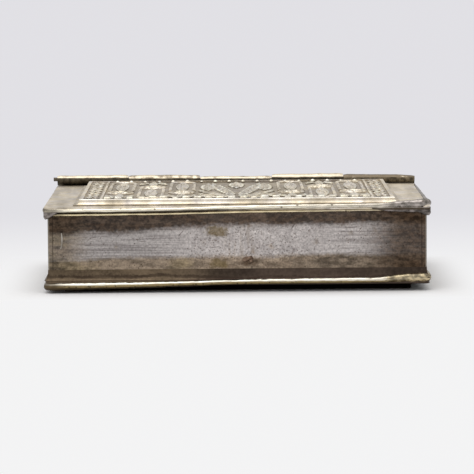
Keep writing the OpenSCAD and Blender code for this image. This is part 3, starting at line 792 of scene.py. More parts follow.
def settle(piece, name, body, material, replaced=()):
    """Applies a piece's place and gives it a name, a finish and a body to ride on."""
    select_only(piece)
    apply_place()
    piece.name = piece.data.name = name
    wear_finish(piece, material)
    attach(piece, body)
    if replaced:
        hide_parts(*replaced)
    made[name] = piece


def apply_modifier(piece, kind, **settings):
    """Adds one modifier to a piece and applies it."""
    select_only(piece)
    modifier = piece.modifiers.new(kind.title(), kind)
    for key, value in settings.items():
        setattr(modifier, key, value)
    bpy.ops.object.modifier_apply(modifier=modifier.name)


def strokes(lines, half_sides=4, caps=True):
    """One mesh of round strokes, each a list of (point, radius) in metres."""
    curve = added(bpy.ops.curve.primitive_nurbs_path_add)
    curve.data.splines.clear()
    for line in lines:
        spline = curve.data.splines.new("POLY")
        spline.points.add(len(line) - 1)
        for spot, (co, radius) in zip(spline.points, line):
            spot.co = (*co, 1.0)
            spot.radius = radius / MM
    curve.data.dimensions = "3D"
    curve.data.bevel_depth = MM
    curve.data.bevel_resolution = half_sides
    curve.data.use_fill_caps = caps
    select_only(curve)
    bpy.ops.object.convert(target="MESH")
    piece = bpy.context.object
    with edit_mode(piece):
        bpy.ops.mesh.remove_doubles(threshold=MERGE)
        bpy.ops.mesh.normals_make_consistent(inside=False)
    return piece


def beat(piece, depth, size, shift=0.0):
    """Moves the vertices in and out along their normals, as planishing leaves a surface."""
    offset = Vector((shift, shift * 0.7, -shift))
    normals = [v.normal.copy() for v in piece.data.vertices]
    for v, n in zip(piece.data.vertices, normals):
        v.co += n * depth * noise.noise(v.co / size + offset)
    piece.data.update()


def cloth_grid(box, across, along):
    """A flat grid as long and as wide as a node's box, about the origin."""
    low, high = box
    cloth = added(bpy.ops.mesh.primitive_grid_add, x_subdivisions=across, y_subdivisions=along, size=1.0)
    cloth.scale = (high.x - low.x, high.y - low.y, 1.0)
    apply_place()
    return cloth


def smooth(piece, angle=40.0):
    """Shades a piece smooth, apart from edges that are sharper than an angle in degrees."""
    select_only(piece)
    bpy.ops.object.shade_smooth_by_angle(angle=math.radians(angle))


def tree_of(*objects):
    """One search tree of finished pieces, in the shared frame."""
    vertices, faces = [], []
    for o in objects:
        start = len(vertices)
        vertices += [o.matrix_world @ v.co for v in o.data.vertices]
        faces += [[start + i for i in p.vertices] for p in o.data.polygons]
    return BVHTree.FromPolygons(vertices, faces)


def sight(x, y):
    """The camera's place and its direction through an image point."""
    camera = bpy.context.scene.camera
    data, side = camera.data, max(W, H)
    ray = Vector((x - W / 2 + data.shift_x * side, H / 2 - y + data.shift_y * side,
                  -side * data.lens / data.sensor_width))
    matrix = camera.matrix_world
    return matrix.translation.copy(), (matrix.to_3x3() @ ray).normalized()


def placed(tree, point):
    """Where an image point lies on what carries a piece."""
    start, ray = sight(*point)
    spot = tree.ray_cast(start, ray)[0]
    if spot is None:
        reach = -start.y
        spot = tree.find_nearest(start + ray * reach)[0]
    return spot


def seen(spot):
    """The image point at which a place shows."""
    camera = bpy.context.scene.camera
    data, side = camera.data, max(W, H)
    local = camera.matrix_world.inverted() @ spot
    scale = side * data.lens / data.sensor_width / -local.z
    return (W / 2 + local.x * scale - data.shift_x * side, H / 2 - local.y * scale + data.shift_y * side)


# Pieces

class NEEDLECASE_OT_stage(bpy.types.Operator):
    """Sets up the camera, the floor, the lamps and the world"""
    bl_idname = "needle_case.stage"
    bl_label = "Stage"

    def execute(self, context):
        studio = context.scene.case_studio
        self.camera(context.scene)
        floor = added(bpy.ops.mesh.primitive_plane_add, size=16.0)
        floor.name = "studio_floor"
        wear_finish(floor, floor_finish())
        floor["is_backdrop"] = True
        self.lamp("key_lamp", KEY_PLACE, KEY_SIZE, studio.key)
        self.lamp("front_lamp", FRONT_PLACE, FRONT_SIZE, studio.front)
        world = context.scene.world or bpy.data.worlds.new("studio")
        context.scene.world = world
        world.use_nodes = True
        self.sky(world.node_tree, studio)
        context.scene.view_settings.view_transform = "Standard"
        context.view_layer.update()
        return {"FINISHED"}

    def camera(self, scene):
        """The camera that the photograph was taken with, as its image points settle it."""
        camera = added(bpy.ops.object.camera_add)
        camera.name = "photo_camera"
        camera.matrix_world = (Matrix.Translation(CAMERA_PLACE) @ Matrix.Rotation(-CAMERA_YAW, 4, "Z")
                               @ Matrix.Rotation(math.pi / 2 - CAMERA_PITCH, 4, "X")
                               @ Matrix.Rotation(CAMERA_ROLL, 4, "Z"))
        camera.data.lens = CAMERA_LENS
        camera.data.sensor_width = 36.0
        camera.data.sensor_fit = "AUTO"
        camera.data.clip_start = 0.01
        camera.data.clip_end = 50.0
        scene.camera = camera

    def sky(self, tree, studio):
        """A dome that is brighter overhead than at the horizon."""
        direction = tree.nodes.new("ShaderNodeTexCoord")
        parts = tree.nodes.new("ShaderNodeSeparateXYZ")
        level = tree.nodes.new("ShaderNodeMapRange")
        for name, value in (("From Min", 0.0), ("From Max", 0.8), ("To Min", studio.horizon),
                            ("To Max", studio.sky)):
            level.inputs[name].default_value = value
        tree.links.new(direction.outputs["Generated"], parts.inputs[0])
        tree.links.new(parts.outputs["Z"], level.inputs["Value"])
        tree.links.new(level.outputs[0], tree.nodes["Background"].inputs["Strength"])
        tree.nodes["Background"].inputs["Color"].default_value = (1.0, 0.99, 0.98, 1.0)

    def lamp(self, name, place, size, power):
        """A square lamp that faces the case."""
        lamp = added(bpy.ops.object.light_add, type="AREA", location=place)
        lamp.name = name
        lamp.data.size = size
        lamp.data.energy = power
        lamp.rotation_euler = (-place).to_track_quat("-Z", "Y").to_euler()


class NEEDLECASE_OT_sheet_metal(bpy.types.Operator):
    """Finishes the covers, the walls and the bezels, whose CAD shapes stay"""
    bl_idname = "needle_case.sheet_metal"
    bl_label = "Covers, walls and bezels"

    def execute(self, context):
        finish_node("lid_cover", lid_finish())
        finish_node("base_cover", base_finish())
        walls = wall_finish()
        for name in ("fore_edge_wall", "left_end_wall", "right_end_wall", "spine_wall"):
            finish_node(name, walls)
        bezel = dark_metal_finish("bezel_silver", rgb("silver"), rgb("tarnish"))
        for name in ("lid_bezel_front", "lid_bezel_left", "lid_bezel_right"):
            finish_node(name, bezel)
        return {"FINISHED"}


def three_sides(box, radius, corner_r):
    """The middle line of a wire on three sides of a cover, from back left to back right, in metres."""
    step = 0.5 * MM
    x, front, back = box[1].x - radius, box[0].y + radius, box[1].y
    side_l, half_l = back - front - corner_r, x - corner_r
    side_steps, half_steps = round(side_l / step), round(half_l / step)
    bend = [i * math.pi / 12 for i in range(1, 6)]
    left = [(-x, back - side_l * i / side_steps) for i in range(side_steps + 1)]
    turn = [(-x + corner_r * (1 - math.cos(a)), front + corner_r * (1 - math.sin(a))) for a in bend]
    half = [(-half_l * (1 - i / half_steps), front) for i in range(half_steps)]
    first = left + turn + half
    return first + [(0.0, front)] + [(-px, py) for px, py in reversed(first)]


class NEEDLECASE_OT_wires(bpy.types.Operator):
    """Draws the uneven wires along the covers' edges and the top of the walls"""
    bl_idname = "needle_case.wires"
    bl_label = "Edge wires"

    # A fold of the lip at a front corner of the lid: millimetres outwards, back and up from its start
    LIP = ((-2.6, 0.0, -0.3), (-1.7, 0.0, -0.75), (-0.8, 0.0, -1.3), (-0.15, 0.15, -1.5), (0.0, 0.8, -1.35),
           (0.0, 1.8, -0.7), (0.0, 2.8, -0.25))
    # The roll along the fore edge from which the right-hand lip starts: millimetres outwards and up
    ROLL = ((-12.5, -0.1), (-11.0, -0.35), (-9.5, -0.6), (-8.0, -0.72), (-6.5, -0.78), (-5.0, -0.85),
            (-3.8, -0.9))
    # How far down each of a lip's folds hangs, as a share of its full depth
    FOLDS = (1.0, 0.6, 0.25)

    def execute(self, context):
        self.lid_wire()
        self.top_wire()
        self.base_wire()
        return {"FINISHED"}

    def front_share(self, y, box):
        """1 along the fore edge, and less towards the hinge."""
        return max(0.0, min(1.0, (HINGE_Y - y) / (HINGE_Y - box[0].y)))

    def rack(self, x, y, box):
        """How far a wire is out of true: lower at the left, with a small crest right of the middle."""
        crest = 0.25 * math.exp(-((x / MM - 2) / 9) ** 2)
        return sizes().wire_rack * self.front_share(y, box) * (math.tanh(x / MM / 22) + crest)

    def drawn_in(self, x, grown):
        """An x that a thicker wire has at the case's ends, so that it stays inside its node's box."""
        return x - math.copysign(grown, x) * (abs(x) > END_X)

    def hammer(self, wire, size, shift=0.0, fine=None):
        """Hammer marks of one size or two, in millimetres, and then smooth shading."""
        beat(wire, sizes().dent_depth, size * MM, shift)
        if fine:
            beat(wire, sizes().dent_depth * 0.7, fine[0] * MM, fine[1])
        smooth(wire)

    def lid_wire(self):
        """The lid's wire, which thickens at its front corners, with a lip that hangs down at each."""
        radius = (LID_WIRE[1].z - LID_WIRE[0].z) / 2
        middle = (LID_WIRE[1].z + LID_WIRE[0].z) / 2
        line = []
        for x, y in three_sides(LID_WIRE, radius + EASE, LID_CORNER):
            # How far out it begins to thicken, and by how much of its radius: sooner and more at the right
            start, most = (0.72, 1.1) if x > 0 else (0.88, 0.45)
            share = max(0.0, abs(x) / LID_WIRE[1].x - start) / (1 - start)
            share = share * self.front_share(y, LID_WIRE) ** 10
            grown = radius * most * min(1.0, 1.3 * share)
            spot = Vector((self.drawn_in(x, grown), y + grown,
                           middle + grown * 0.75 + self.rack(x, y, LID_WIRE)))
            line.append((spot, radius + grown))
        lips = [self.corner_lip(side, middle, hang) for side in (-1, 1) for hang in self.FOLDS]
        wire = strokes([line] + lips, 6)
        self.hammer(wire, 1.6, fine=(0.7, 4.0))
        settle(wire, "lid_wire", "lid", wire_finish("lid_wire_metal", middle / MM - 0.12),
               ["lid_edge_wire"])

    def corner_lip(self, side, middle, hang):
        """One fold of the worn lip at a front corner; they lie one under another, clear of the walls.

        The right-hand lip starts from a roll along the fore edge, which tapers off."""
        x, y = LID_WIRE[1].x - 0.72 * MM, LID_WIRE[0].y + 0.60 * MM
        lower = 0.25 * MM * (side < 0)
        lip = []
        for i, (u, v, w) in enumerate(self.LIP):
            spot = Vector((side * (x + u * MM), y + v * MM, middle + w * hang * MM - lower))
            lip.append((spot, (0.30 + 0.14 * math.sin(math.pi * i / 6)) * MM))
        if side < 0:
            return lip
        for i, (spot, radius) in enumerate(lip):
            spot.z -= 0.55 * MM * hang * max(0.0, 1 - i / 3)
        roll = [(Vector((x + u * MM, y - 0.06 * MM, middle + w * hang * MM)), 0.33 * MM) for u, w in self.ROLL]
        return roll + lip

    def top_wire(self):
        """The thin wire along the top of the walls, which lies just under the lid."""
        radius = 0.3 * MM
        middle = TOP_WIRE[1].z - radius
        line = [(Vector((x, y, middle - 0.2 * MM + 0.8 * self.rack(x, y, TOP_WIRE))), radius)
                for x, y in three_sides(TOP_WIRE, radius + EASE, WALL_CORNER)]
        wire = strokes([line], 4)
        self.hammer(wire, 1.3, 3.0)
        # Painted lighter than the lid's wire, against the shade under the lid; below its middle it gets
        # painted shade
        metal = wire_finish("wall_wire_metal", middle / MM - 0.4, 0.8, WALL_WIRE_LIT_SILVER)
        settle(wire, "wall_wire", "case", metal, ["wall_top_wire"])

    def base_wire(self):
        """The base's wire, nicked and uneven, which sags and thickens towards its left front corner."""
        radius = (BASE_WIRE[1].z - BASE_WIRE[0].z) / 2
        middle = (BASE_WIRE[1].z + BASE_WIRE[0].z) / 2
        front = three_sides((BASE_WIRE[0], Vector((BASE_WIRE[1].x, 0, 0))), radius + EASE, BASE_CORNER)
        ring = front + [(x, -y) for x, y in reversed(front)][1:]
        line = []
        for x, y in ring:
            nick = max(0.0, noise.noise(Vector((x, y, 0.0)) / (1.9 * MM)) - 0.25) * 0.35
            front_half = self.front_share(y, BASE_WIRE) ** 2
            left = max(0.0, -x / BASE_WIRE[1].x - 0.1) / 0.9 * front_half
            right = min(1.0, max(0.0, x / BASE_WIRE[1].x - 0.72) / 0.14) * front_half
            grown = radius * (0.6 * left + 0.7 * right)
            height = middle + self.rack(x, y, BASE_WIRE) * 0.8 - 0.38 * MM * left + radius * 0.7 * right
            spot = Vector((self.drawn_in(x, grown), y + grown * (y < -20 * MM),
                           max(height, radius + grown + 0.12 * MM)))
            line.append((spot, radius * (1 - nick) + grown))
        wire = strokes([line], 6)
        self.hammer(wire, 1.2, 6.0, fine=(0.6, 8.0))
        settle(wire, "base_wire", "case", base_wire_finish(middle / MM), ["base_edge_wire"])


class NEEDLECASE_OT_hinge(bpy.types.Operator):
    """Rolls the five pieces of the hinge tube and draws the pin"""
    bl_idname = "needle_case.hinge"
    bl_label = "Hinge"

    # Each piece of the tube: its node, its body, how far it lies below the axis and droops at its right end,
    # its share of the full radius, how far down its top is painted lit, and how brown it is
    PIECES = (("case_knuckle_left", "case", 0.0, 0.0, 1.0, 0.62, 0.15),
              ("lid_knuckle_left", "lid", 0.04, 0.0, 0.95, 0.75, 0.5),
              ("case_knuckle_middle", "case", 0.30, 0.0, 0.86, 0.55, 0.25),
              ("lid_knuckle_right", "lid", 0.0, 0.0, 1.0, 0.80, 0.1),
              ("case_knuckle_right", "case", 0.18, 0.36, 0.97, 0.80, 0.9))
    TUBE_SHEET = 0.5 * MM
    TUBE_STEPS, PIN_STEPS = 40, 90

    def execute(self, context):
        for node, body, drop, droop, share, lit, brown in self.PIECES:
            low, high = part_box(node)
            top = high.z / MM - drop - (1 - share) * (high.z - low.z) / 2 / MM
            self.knuckle(node, body, drop, droop, share, hinge_finish(f"{node}_metal", top, lit, brown))
        self.pin()
        return {"FINISHED"}

    def knuckle(self, node, body, drop, droop, share, metal):
        """One rolled tube, a little off the axis and out of round as the real ones are."""
        low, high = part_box(node)
        radius = (high.z - low.z) / 2 - sizes().dent_depth
        line = []
        for i in range(self.TUBE_STEPS + 1):
            t = i / self.TUBE_STEPS
            lip = 1 - 0.12 * max(0.0, 1 - min(t, 1 - t) * self.TUBE_STEPS / 2)
            spot = Vector((low.x + (high.x - low.x) * t, HINGE_Y, HINGE_Z - (drop + droop * t ** 2) * MM))
            line.append((spot, radius * share * lip))
        tube = strokes([line], 14, caps=False)
        self.seam(tube)
        beat(tube, sizes().dent_depth * 1.6, 2.4 * MM, low.x / MM)
        apply_modifier(tube, "SOLIDIFY", thickness=self.TUBE_SHEET, offset=-1.0, use_even_offset=True)
        smooth(tube)
        settle(tube, f"{node}_tube", body, metal, [node])

    def seam(self, tube):
        """Presses in the line where the rolled sheet's edges meet, low at the back."""
        place, half, depth = -0.6, 0.12, 0.12
        for v in tube.data.vertices:
            angle = math.atan2(v.co.z - HINGE_Z, v.co.y - HINGE_Y)
            if abs(angle - place) < half:
                v.co += (Vector((v.co.x, HINGE_Y, HINGE_Z)) - v.co) * depth
        tube.data.update()

    def pin(self):
        """The pin, rough at its left end, which sags where the tubes hang low and rises at its left tip."""
        radius = (PIN[1].z - PIN[0].z) / 2
        start, end = PIN[0].x + EASE, PIN[1].x - EASE
        line = []
        for i in range(self.PIN_STEPS + 1):
            x = start + (end - start) * i / self.PIN_STEPS
            sag = 0.26 * math.exp(-(x / MM / 8.5) ** 4) + 0.4 * max(0.0, (x / MM - 24) / 19) ** 1.5
            sag -= 0.32 * max(0.0, min(1.0, (-x / MM - 38.5) / 3.0))
            rough = 0.85 if i < 2 else 1.0
            line.append((Vector((x, HINGE_Y, HINGE_Z - sag * MM)), radius * rough * 0.97))
        pin = strokes([line], 4)
        beat(pin, 0.05 * MM, 0.7 * MM)
        smooth(pin)
        settle(pin, "hinge_pin_wire", "case", dark_metal_finish("pin_metal", *PIN_TONES),
               ["hinge_pin"])


# Ornament: outlines, veins, lobes and pearls over the CAD's pressed leaves and stems. Each motif is a list of
# lines of (along x, along y, height above the field, radius), and starts at the front of its strip.

def moved(lines, x, y, turn=0.0):
    """A motif turned about its start and then moved."""
    c, s = math.cos(turn), math.sin(turn)
    return [[(x + u * c - v * s, y + u * s + v * c, h, r) for u, v, h, r in line] for line in lines]


def lobe(x, y, angle, length, radius):
    """One lobe at a leaf's edge: it starts narrow, swells and runs out to a point."""
    count = 6
    line = []
    for i in range(count + 1):
        t = i / count
        r = max(0.08 * MM, radius * (0.5 + 0.8 * math.sin(math.pi * t ** 0.8)) * (1 - 0.35 * t))
        line.append((x + length * t * math.cos(angle), y + length * t * math.sin(angle), 0.02 * MM, r))
    return line


def leaf(length, width, lobes=0):
    """A leaf's two outlines and its vein, with lobes along both edges."""
    size = sizes()
    outline_lift, vein_lift, lobe_l = 0.14 * MM, RELIEF - 0.02 * MM, 1.3 * MM
    count = max(8, int(length / (0.8 * MM)))
    curve = (length * length + width * width) / (4 * width)

    def half(v):
        return math.sqrt(max(0.0, curve * curve - (length / 2 - v) ** 2)) - (curve - width / 2)

    steps = [length * i / count for i in range(count + 1)]
    lines = [[(side * half(v), v, outline_lift, size.outline_radius) for v in steps] for side in (-1, 1)]
    lines.append([(0.0, v, vein_lift, size.vein_radius) for v in steps[1:-1]])
    for i in range(lobes):
        v = length * (0.18 + 0.64 * i / max(1, lobes - 1))
        for side in (-1, 1):
            lines.append(lobe(side * half(v), v, math.pi / 2 - side * 0.8, lobe_l, size.lobe_radius))
    return lines


def pearls(points, radius, height):
    """Round grains along a line of (x, y) points."""
    return [[(x - 0.02 * MM, y, height, radius), (x + 0.02 * MM, y, height, radius)] for x, y in points]


def arc_points(x, y, radius, start, end):
    """Points for pearls along an arc, from one angle to another."""
    count = max(2, int(abs(end - start) * radius / PEARL_PITCH))
    return [(x + radius * math.cos(start + (end - start) * i / count),
             y + radius * math.sin(start + (end - start) * i / count)) for i in range(count + 1)]


def arch(length):
    """Pearls along an arch's legs and head, round its leaf."""
    leg = length - ARCH_R - STEM
    count = int(leg / PEARL_PITCH)
    points = [(side * ARCH_R, leg * (i + 0.5) / count) for side in (-1, 1) for i in range(count)]
    points += arc_points(0.0, leg, ARCH_R, 0.0, math.pi)
    return pearls(points, sizes().pearl_radius, PEARL_LIFT) + leaf(length - 4 * STEM, ARCH_R)


def rosette():
    """Six petals and a ring of pearls round a bud."""
    size = sizes()
    bud, petal = 0.5 * MM, 1.5 * MM
    lines = [lobe(bud * math.cos(a), bud * math.sin(a), a, petal, size.lobe_radius * 1.2)
             for a in (i * math.pi / 3 for i in range(6))]
    ring = arc_points(0.0, 0.0, ARCH_R, 0.0, 2 * math.pi)
    return lines + pearls(ring, size.pearl_radius, PEARL_LIFT)


def ornament_column():
    """Fan, rosette and arch, one behind the other."""
    side_l = min(FAN_L, (COLUMN_PITCH / 2 - MOTIF_GAP) / math.sin(FAN_TURN))
    start = side_l * 0.4
    lines = leaf(FAN_L, FAN_L / 6)
    for side in (-1, 1):
        turn = side * FAN_TURN
        lines += moved(leaf(side_l - start, side_l / 6), -start * math.sin(turn), start * math.cos(turn), turn)
    return lines + moved(rosette(), 0.0, ROSETTE_Y) + moved(arch(MOTIF - ARCH_Y), 0.0, ARCH_Y)


def palmette():
    """The long leaves that fan out from the front, and the three that stand behind them."""
    reach, start = PALMETTE_HALF - MOTIF_GAP, PALMETTE_HALF / 3
    back_w, side_x, middle_y, side_y = PALMETTE_HALF / 4, PALMETTE_HALF * 0.72, MOTIF * 0.6, MOTIF * 0.45
    lines = moved(leaf(MOTIF * 0.35, back_w, 5), 0.0, middle_y)
    for side in (-1, 1):
        lines += moved(leaf(MOTIF * 0.4, back_w, 6), side * side_x, side_y)
        for i in range(PALMETTE_LEAVES):
            turn = PALMETTE_TURN * (i + 0.5)
            length = min(MOTIF * 0.9, reach / math.sin(turn)) - start
            lobes = 9 if i == 0 else 0
            lines += moved(leaf(length, min(length, PALMETTE_HALF) / 5, lobes),
                           -side * start * math.sin(turn), start * math.cos(turn), side * turn)
    return lines


def wave_stem():
    """One stem that swings from side to side without a break, with the leaves in its hollows."""
    half = MOTIF / WAVES / 2
    curve = (half * half + WAVE_SWING * WAVE_SWING) / (2 * WAVE_SWING)
    lines, stem = [], []
    for i in range(WAVES):
        hand = -1 if i % 2 else 1
        middle = (2 * i + 1) * half
        for step in range(12):
            v = half * (step / 6 - 1)
            u = hand * (WAVE_SWING - curve + math.sqrt(curve * curve - v * v))
            stem.append((u, middle + v, 0.06 * MM, 0.3 * MM))
        lines += moved(leaf(half, WAVE_SWING), -hand * 0.7 * WAVE_SWING, middle - hand * half / 2,
                       0.0 if hand > 0 else math.pi)
    return lines + [stem]


class NEEDLECASE_OT_ornament(bpy.types.Operator):
    """Chases the outlines, veins, lobes and pearls of the lid's pressed ornament"""
    bl_idname = "needle_case.ornament"
    bl_label = "Lid ornament"

    def execute(self, context):
        lines = [[(Vector((x, y, GROUND + h)), r) for x, y, h, r in line] for line in self.layout_lines()]
        ornament = strokes(lines, 3)
        apply_modifier(ornament, "REMESH", mode="VOXEL", voxel_size=0.17 * MM)
        apply_modifier(ornament, "SMOOTH", factor=0.5, iterations=1)
        self.cut_below(ornament, GROUND - 0.06 * MM)
        beat(ornament, 0.04 * MM, 0.8 * MM, 2.0)
        smooth(ornament, 70.0)
        settle(ornament, "lid_ornament", "lid", ornament_finish("ornament_silver", 0.75))
        metal = ornament_finish("bead_silver")
        self.beads(metal)
        self.tongues(metal)
        return {"FINISHED"}

    def layout_lines(self):
        """Every motif in its place on the field, as the CAD has them."""
        middle = (FIELD_FRONT + FIELD_BACK) / 2
        front = middle - MOTIF / 2
        lines = moved(palmette(), 0.0, front)
        for side in (-1, 1):
            lines += moved(wave_stem(), side * BAND_X, front)
            for i in range(COLUMNS):
                x = side * (PALMETTE_HALF + (i + 0.5) * COLUMN_PITCH)
                if i % 2:
                    lines += moved(ornament_column(), x, middle + MOTIF / 2, math.pi)
                else:
                    lines += moved(ornament_column(), x, front)
        return lines

    def cut_below(self, piece, height):
        """Takes off what would lie inside the sheet, and closes the cut."""
        with edit_mode(piece):
            bpy.ops.mesh.bisect(plane_co=(0, 0, height), plane_no=(0, 0, 1), clear_inner=True, use_fill=True,
                                threshold=MERGE)

    def row(self, y, pitch, lift, shape, primitive, **settings):
        """A row of like grains along the field, each a little off its place and its size."""
        margin = 1.0 * MM
        count = int(2 * (RIB_X - margin) / pitch)
        grains = []
        for i in range(count + 1):
            x = (i - count / 2) * pitch + 0.3 * MM * noise.noise(Vector((i * 1.7, y / MM, 0.0)))
            grain = added(primitive, location=(x, y, GROUND + lift), **settings)
            swell = 1 + 0.5 * noise.noise(Vector((i * 0.9, 3.0, 0.0)))
            grain.scale = (shape[0] * swell, shape[1], shape[2] * swell)
            grains.append(grain)
        return joined(grains)

    def beads(self, metal):
        """Beads along the back of the field, where their image point puts them."""
        size = sizes()
        y = placed(tree_of(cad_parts["lid_cover"]), IMAGE_POINTS["back_beads"]).y
        y = max(FIELD_BACK - 1.7 * MM, min(y, FIELD_BACK - size.bead_radius))
        beads = self.row(y, size.bead_pitch, 0.22 * MM, (0.95, 0.9, 0.8),
                         bpy.ops.mesh.primitive_uv_sphere_add, segments=14, ring_count=9,
                         radius=size.bead_radius)
        smooth(beads, 80.0)
        settle(beads, "back_beads", "lid", metal)

    def tongues(self, metal):
        """Rounded tongues along the front of the field, just behind its ridge."""
        size = sizes()
        tongues = self.row(FIELD_FRONT + 0.75 * MM, size.tongue_pitch, 0.32 * MM, (1.6, 2.0, 0.9),
                           bpy.ops.mesh.primitive_cube_add, size=2 * size.bead_radius)
        apply_modifier(tongues, "BEVEL", width=0.22 * MM, segments=3)
        apply_modifier(tongues, "SUBSURF", levels=1, render_levels=1)
        beat(tongues, 0.16 * MM, 0.9 * MM, 5.0)
        smooth(tongues, 80.0)
        settle(tongues, "front_tongues", "lid", metal)


class NEEDLECASE_OT_wall_marks(bpy.types.Operator):
    """Adds the solder blob and the raised crease on the fore-edge wall"""
    bl_idname = "needle_case.wall_marks"
    bl_label = "Wall marks"

    def execute(self, context):
        tree = tree_of(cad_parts["fore_edge_wall"])
        self.blob(placed(tree, IMAGE_POINTS["solder_blob"]))
        self.crease(placed(tree, IMAGE_POINTS["wall_crease"]))
        return {"FINISHED"}

    def blob(self, spot):
        """A flat, uneven run of solder on the wall's face."""
        blob = added(bpy.ops.mesh.primitive_ico_sphere_add, subdivisions=4, radius=0.6 * MM, location=spot)
        blob.scale = (2.3, 0.5, 1.0)
        apply_place()
        beat(blob, 0.5 * MM, 0.75 * MM, 1.0)
        smooth(blob, 80.0)
        settle(blob, "solder_blob", "case", dark_metal_finish("solder", *SOLDER_TONES))

    def crease(self, spot):
        """A raised, slightly bowed line up the wall, which tapers off at both ends."""
        count, half = 14, 2.1 * MM
        line = []
        for i in range(count + 1):
            t = i / count * 2 - 1
            place = Vector((spot.x - 0.35 * MM * t * t - 0.1 * MM * t, spot.y + 0.1 * MM, spot.z - half * t))
            line.append((place, 0.22 * MM * (1 - abs(t) ** 3) + 0.02 * MM))
        crease = strokes([line], 4)
        smooth(crease, 80.0)
        settle(crease, "wall_crease", "case", dark_metal_finish("crease_metal", *CREASE_TONES))


class NEEDLECASE_OT_needles(bpy.types.Operator):
    """Draws the ten needles, each with a flattened head and an eye"""
    bl_idname = "needle_case.needles"
    bl_label = "Needles"

    def execute(self, context):
        model = self.needle(NEEDLE_PLACES[0], NEEDLE_R)
        needles = [model]
        for place in NEEDLE_PLACES[1:]:
            select_only(model)
            bpy.ops.object.duplicate()
            copy = bpy.context.object
            copy.location.x = place - NEEDLE_PLACES[0]
            needles.append(copy)
        row = joined(needles)
        smooth(row)
        settle(row, "needle_row", "case", steel_finish(), ["needles"])
        return {"FINISHED"}

    def needle(self, x, radius):
        """One needle, from its blunt head in front to its point, with its eye cut through."""
        start, end, steps = NEEDLES[0].y, NEEDLES[1].y, 60
        z = PAD[1].z
        thinnest, point_l, eye_inset = 0.03 * MM, 7 * MM, 0.9 * MM
        line = []
        for i in range(steps + 1):
            t = i / steps
            head = min(1.0, 0.55 + t * 14)
            point = min(1.0, ((1 - t) * (end - start) / point_l) ** 0.7)
            line.append((Vector((x, start + (end - start) * t, z)), max(thinnest, radius * head * point)))
        needle = strokes([line], 6)
        eye = sizes().needle_eye
        middle = start + eye_inset + eye / 2
        for v in needle.data.vertices:
            near = max(0.0, 1 - abs(v.co.y - middle) / (eye * 1.1))
            v.co.z = z + (v.co.z - z) * (1 + 0.15 * near)
            v.co.x = x + (v.co.x - x) * (1 - 0.3 * near)
        hole = added(bpy.ops.mesh.primitive_uv_sphere_add, segments=16, ring_count=10, radius=1.0,
                     location=(x, middle, z))
        hole.scale = (radius * 3, eye / 2, radius * 0.42)
        apply_place()
        apply_modifier(needle, "BOOLEAN", operation="DIFFERENCE", solver="EXACT", object=hole)
        bpy.data.objects.remove(hole)
        return needle


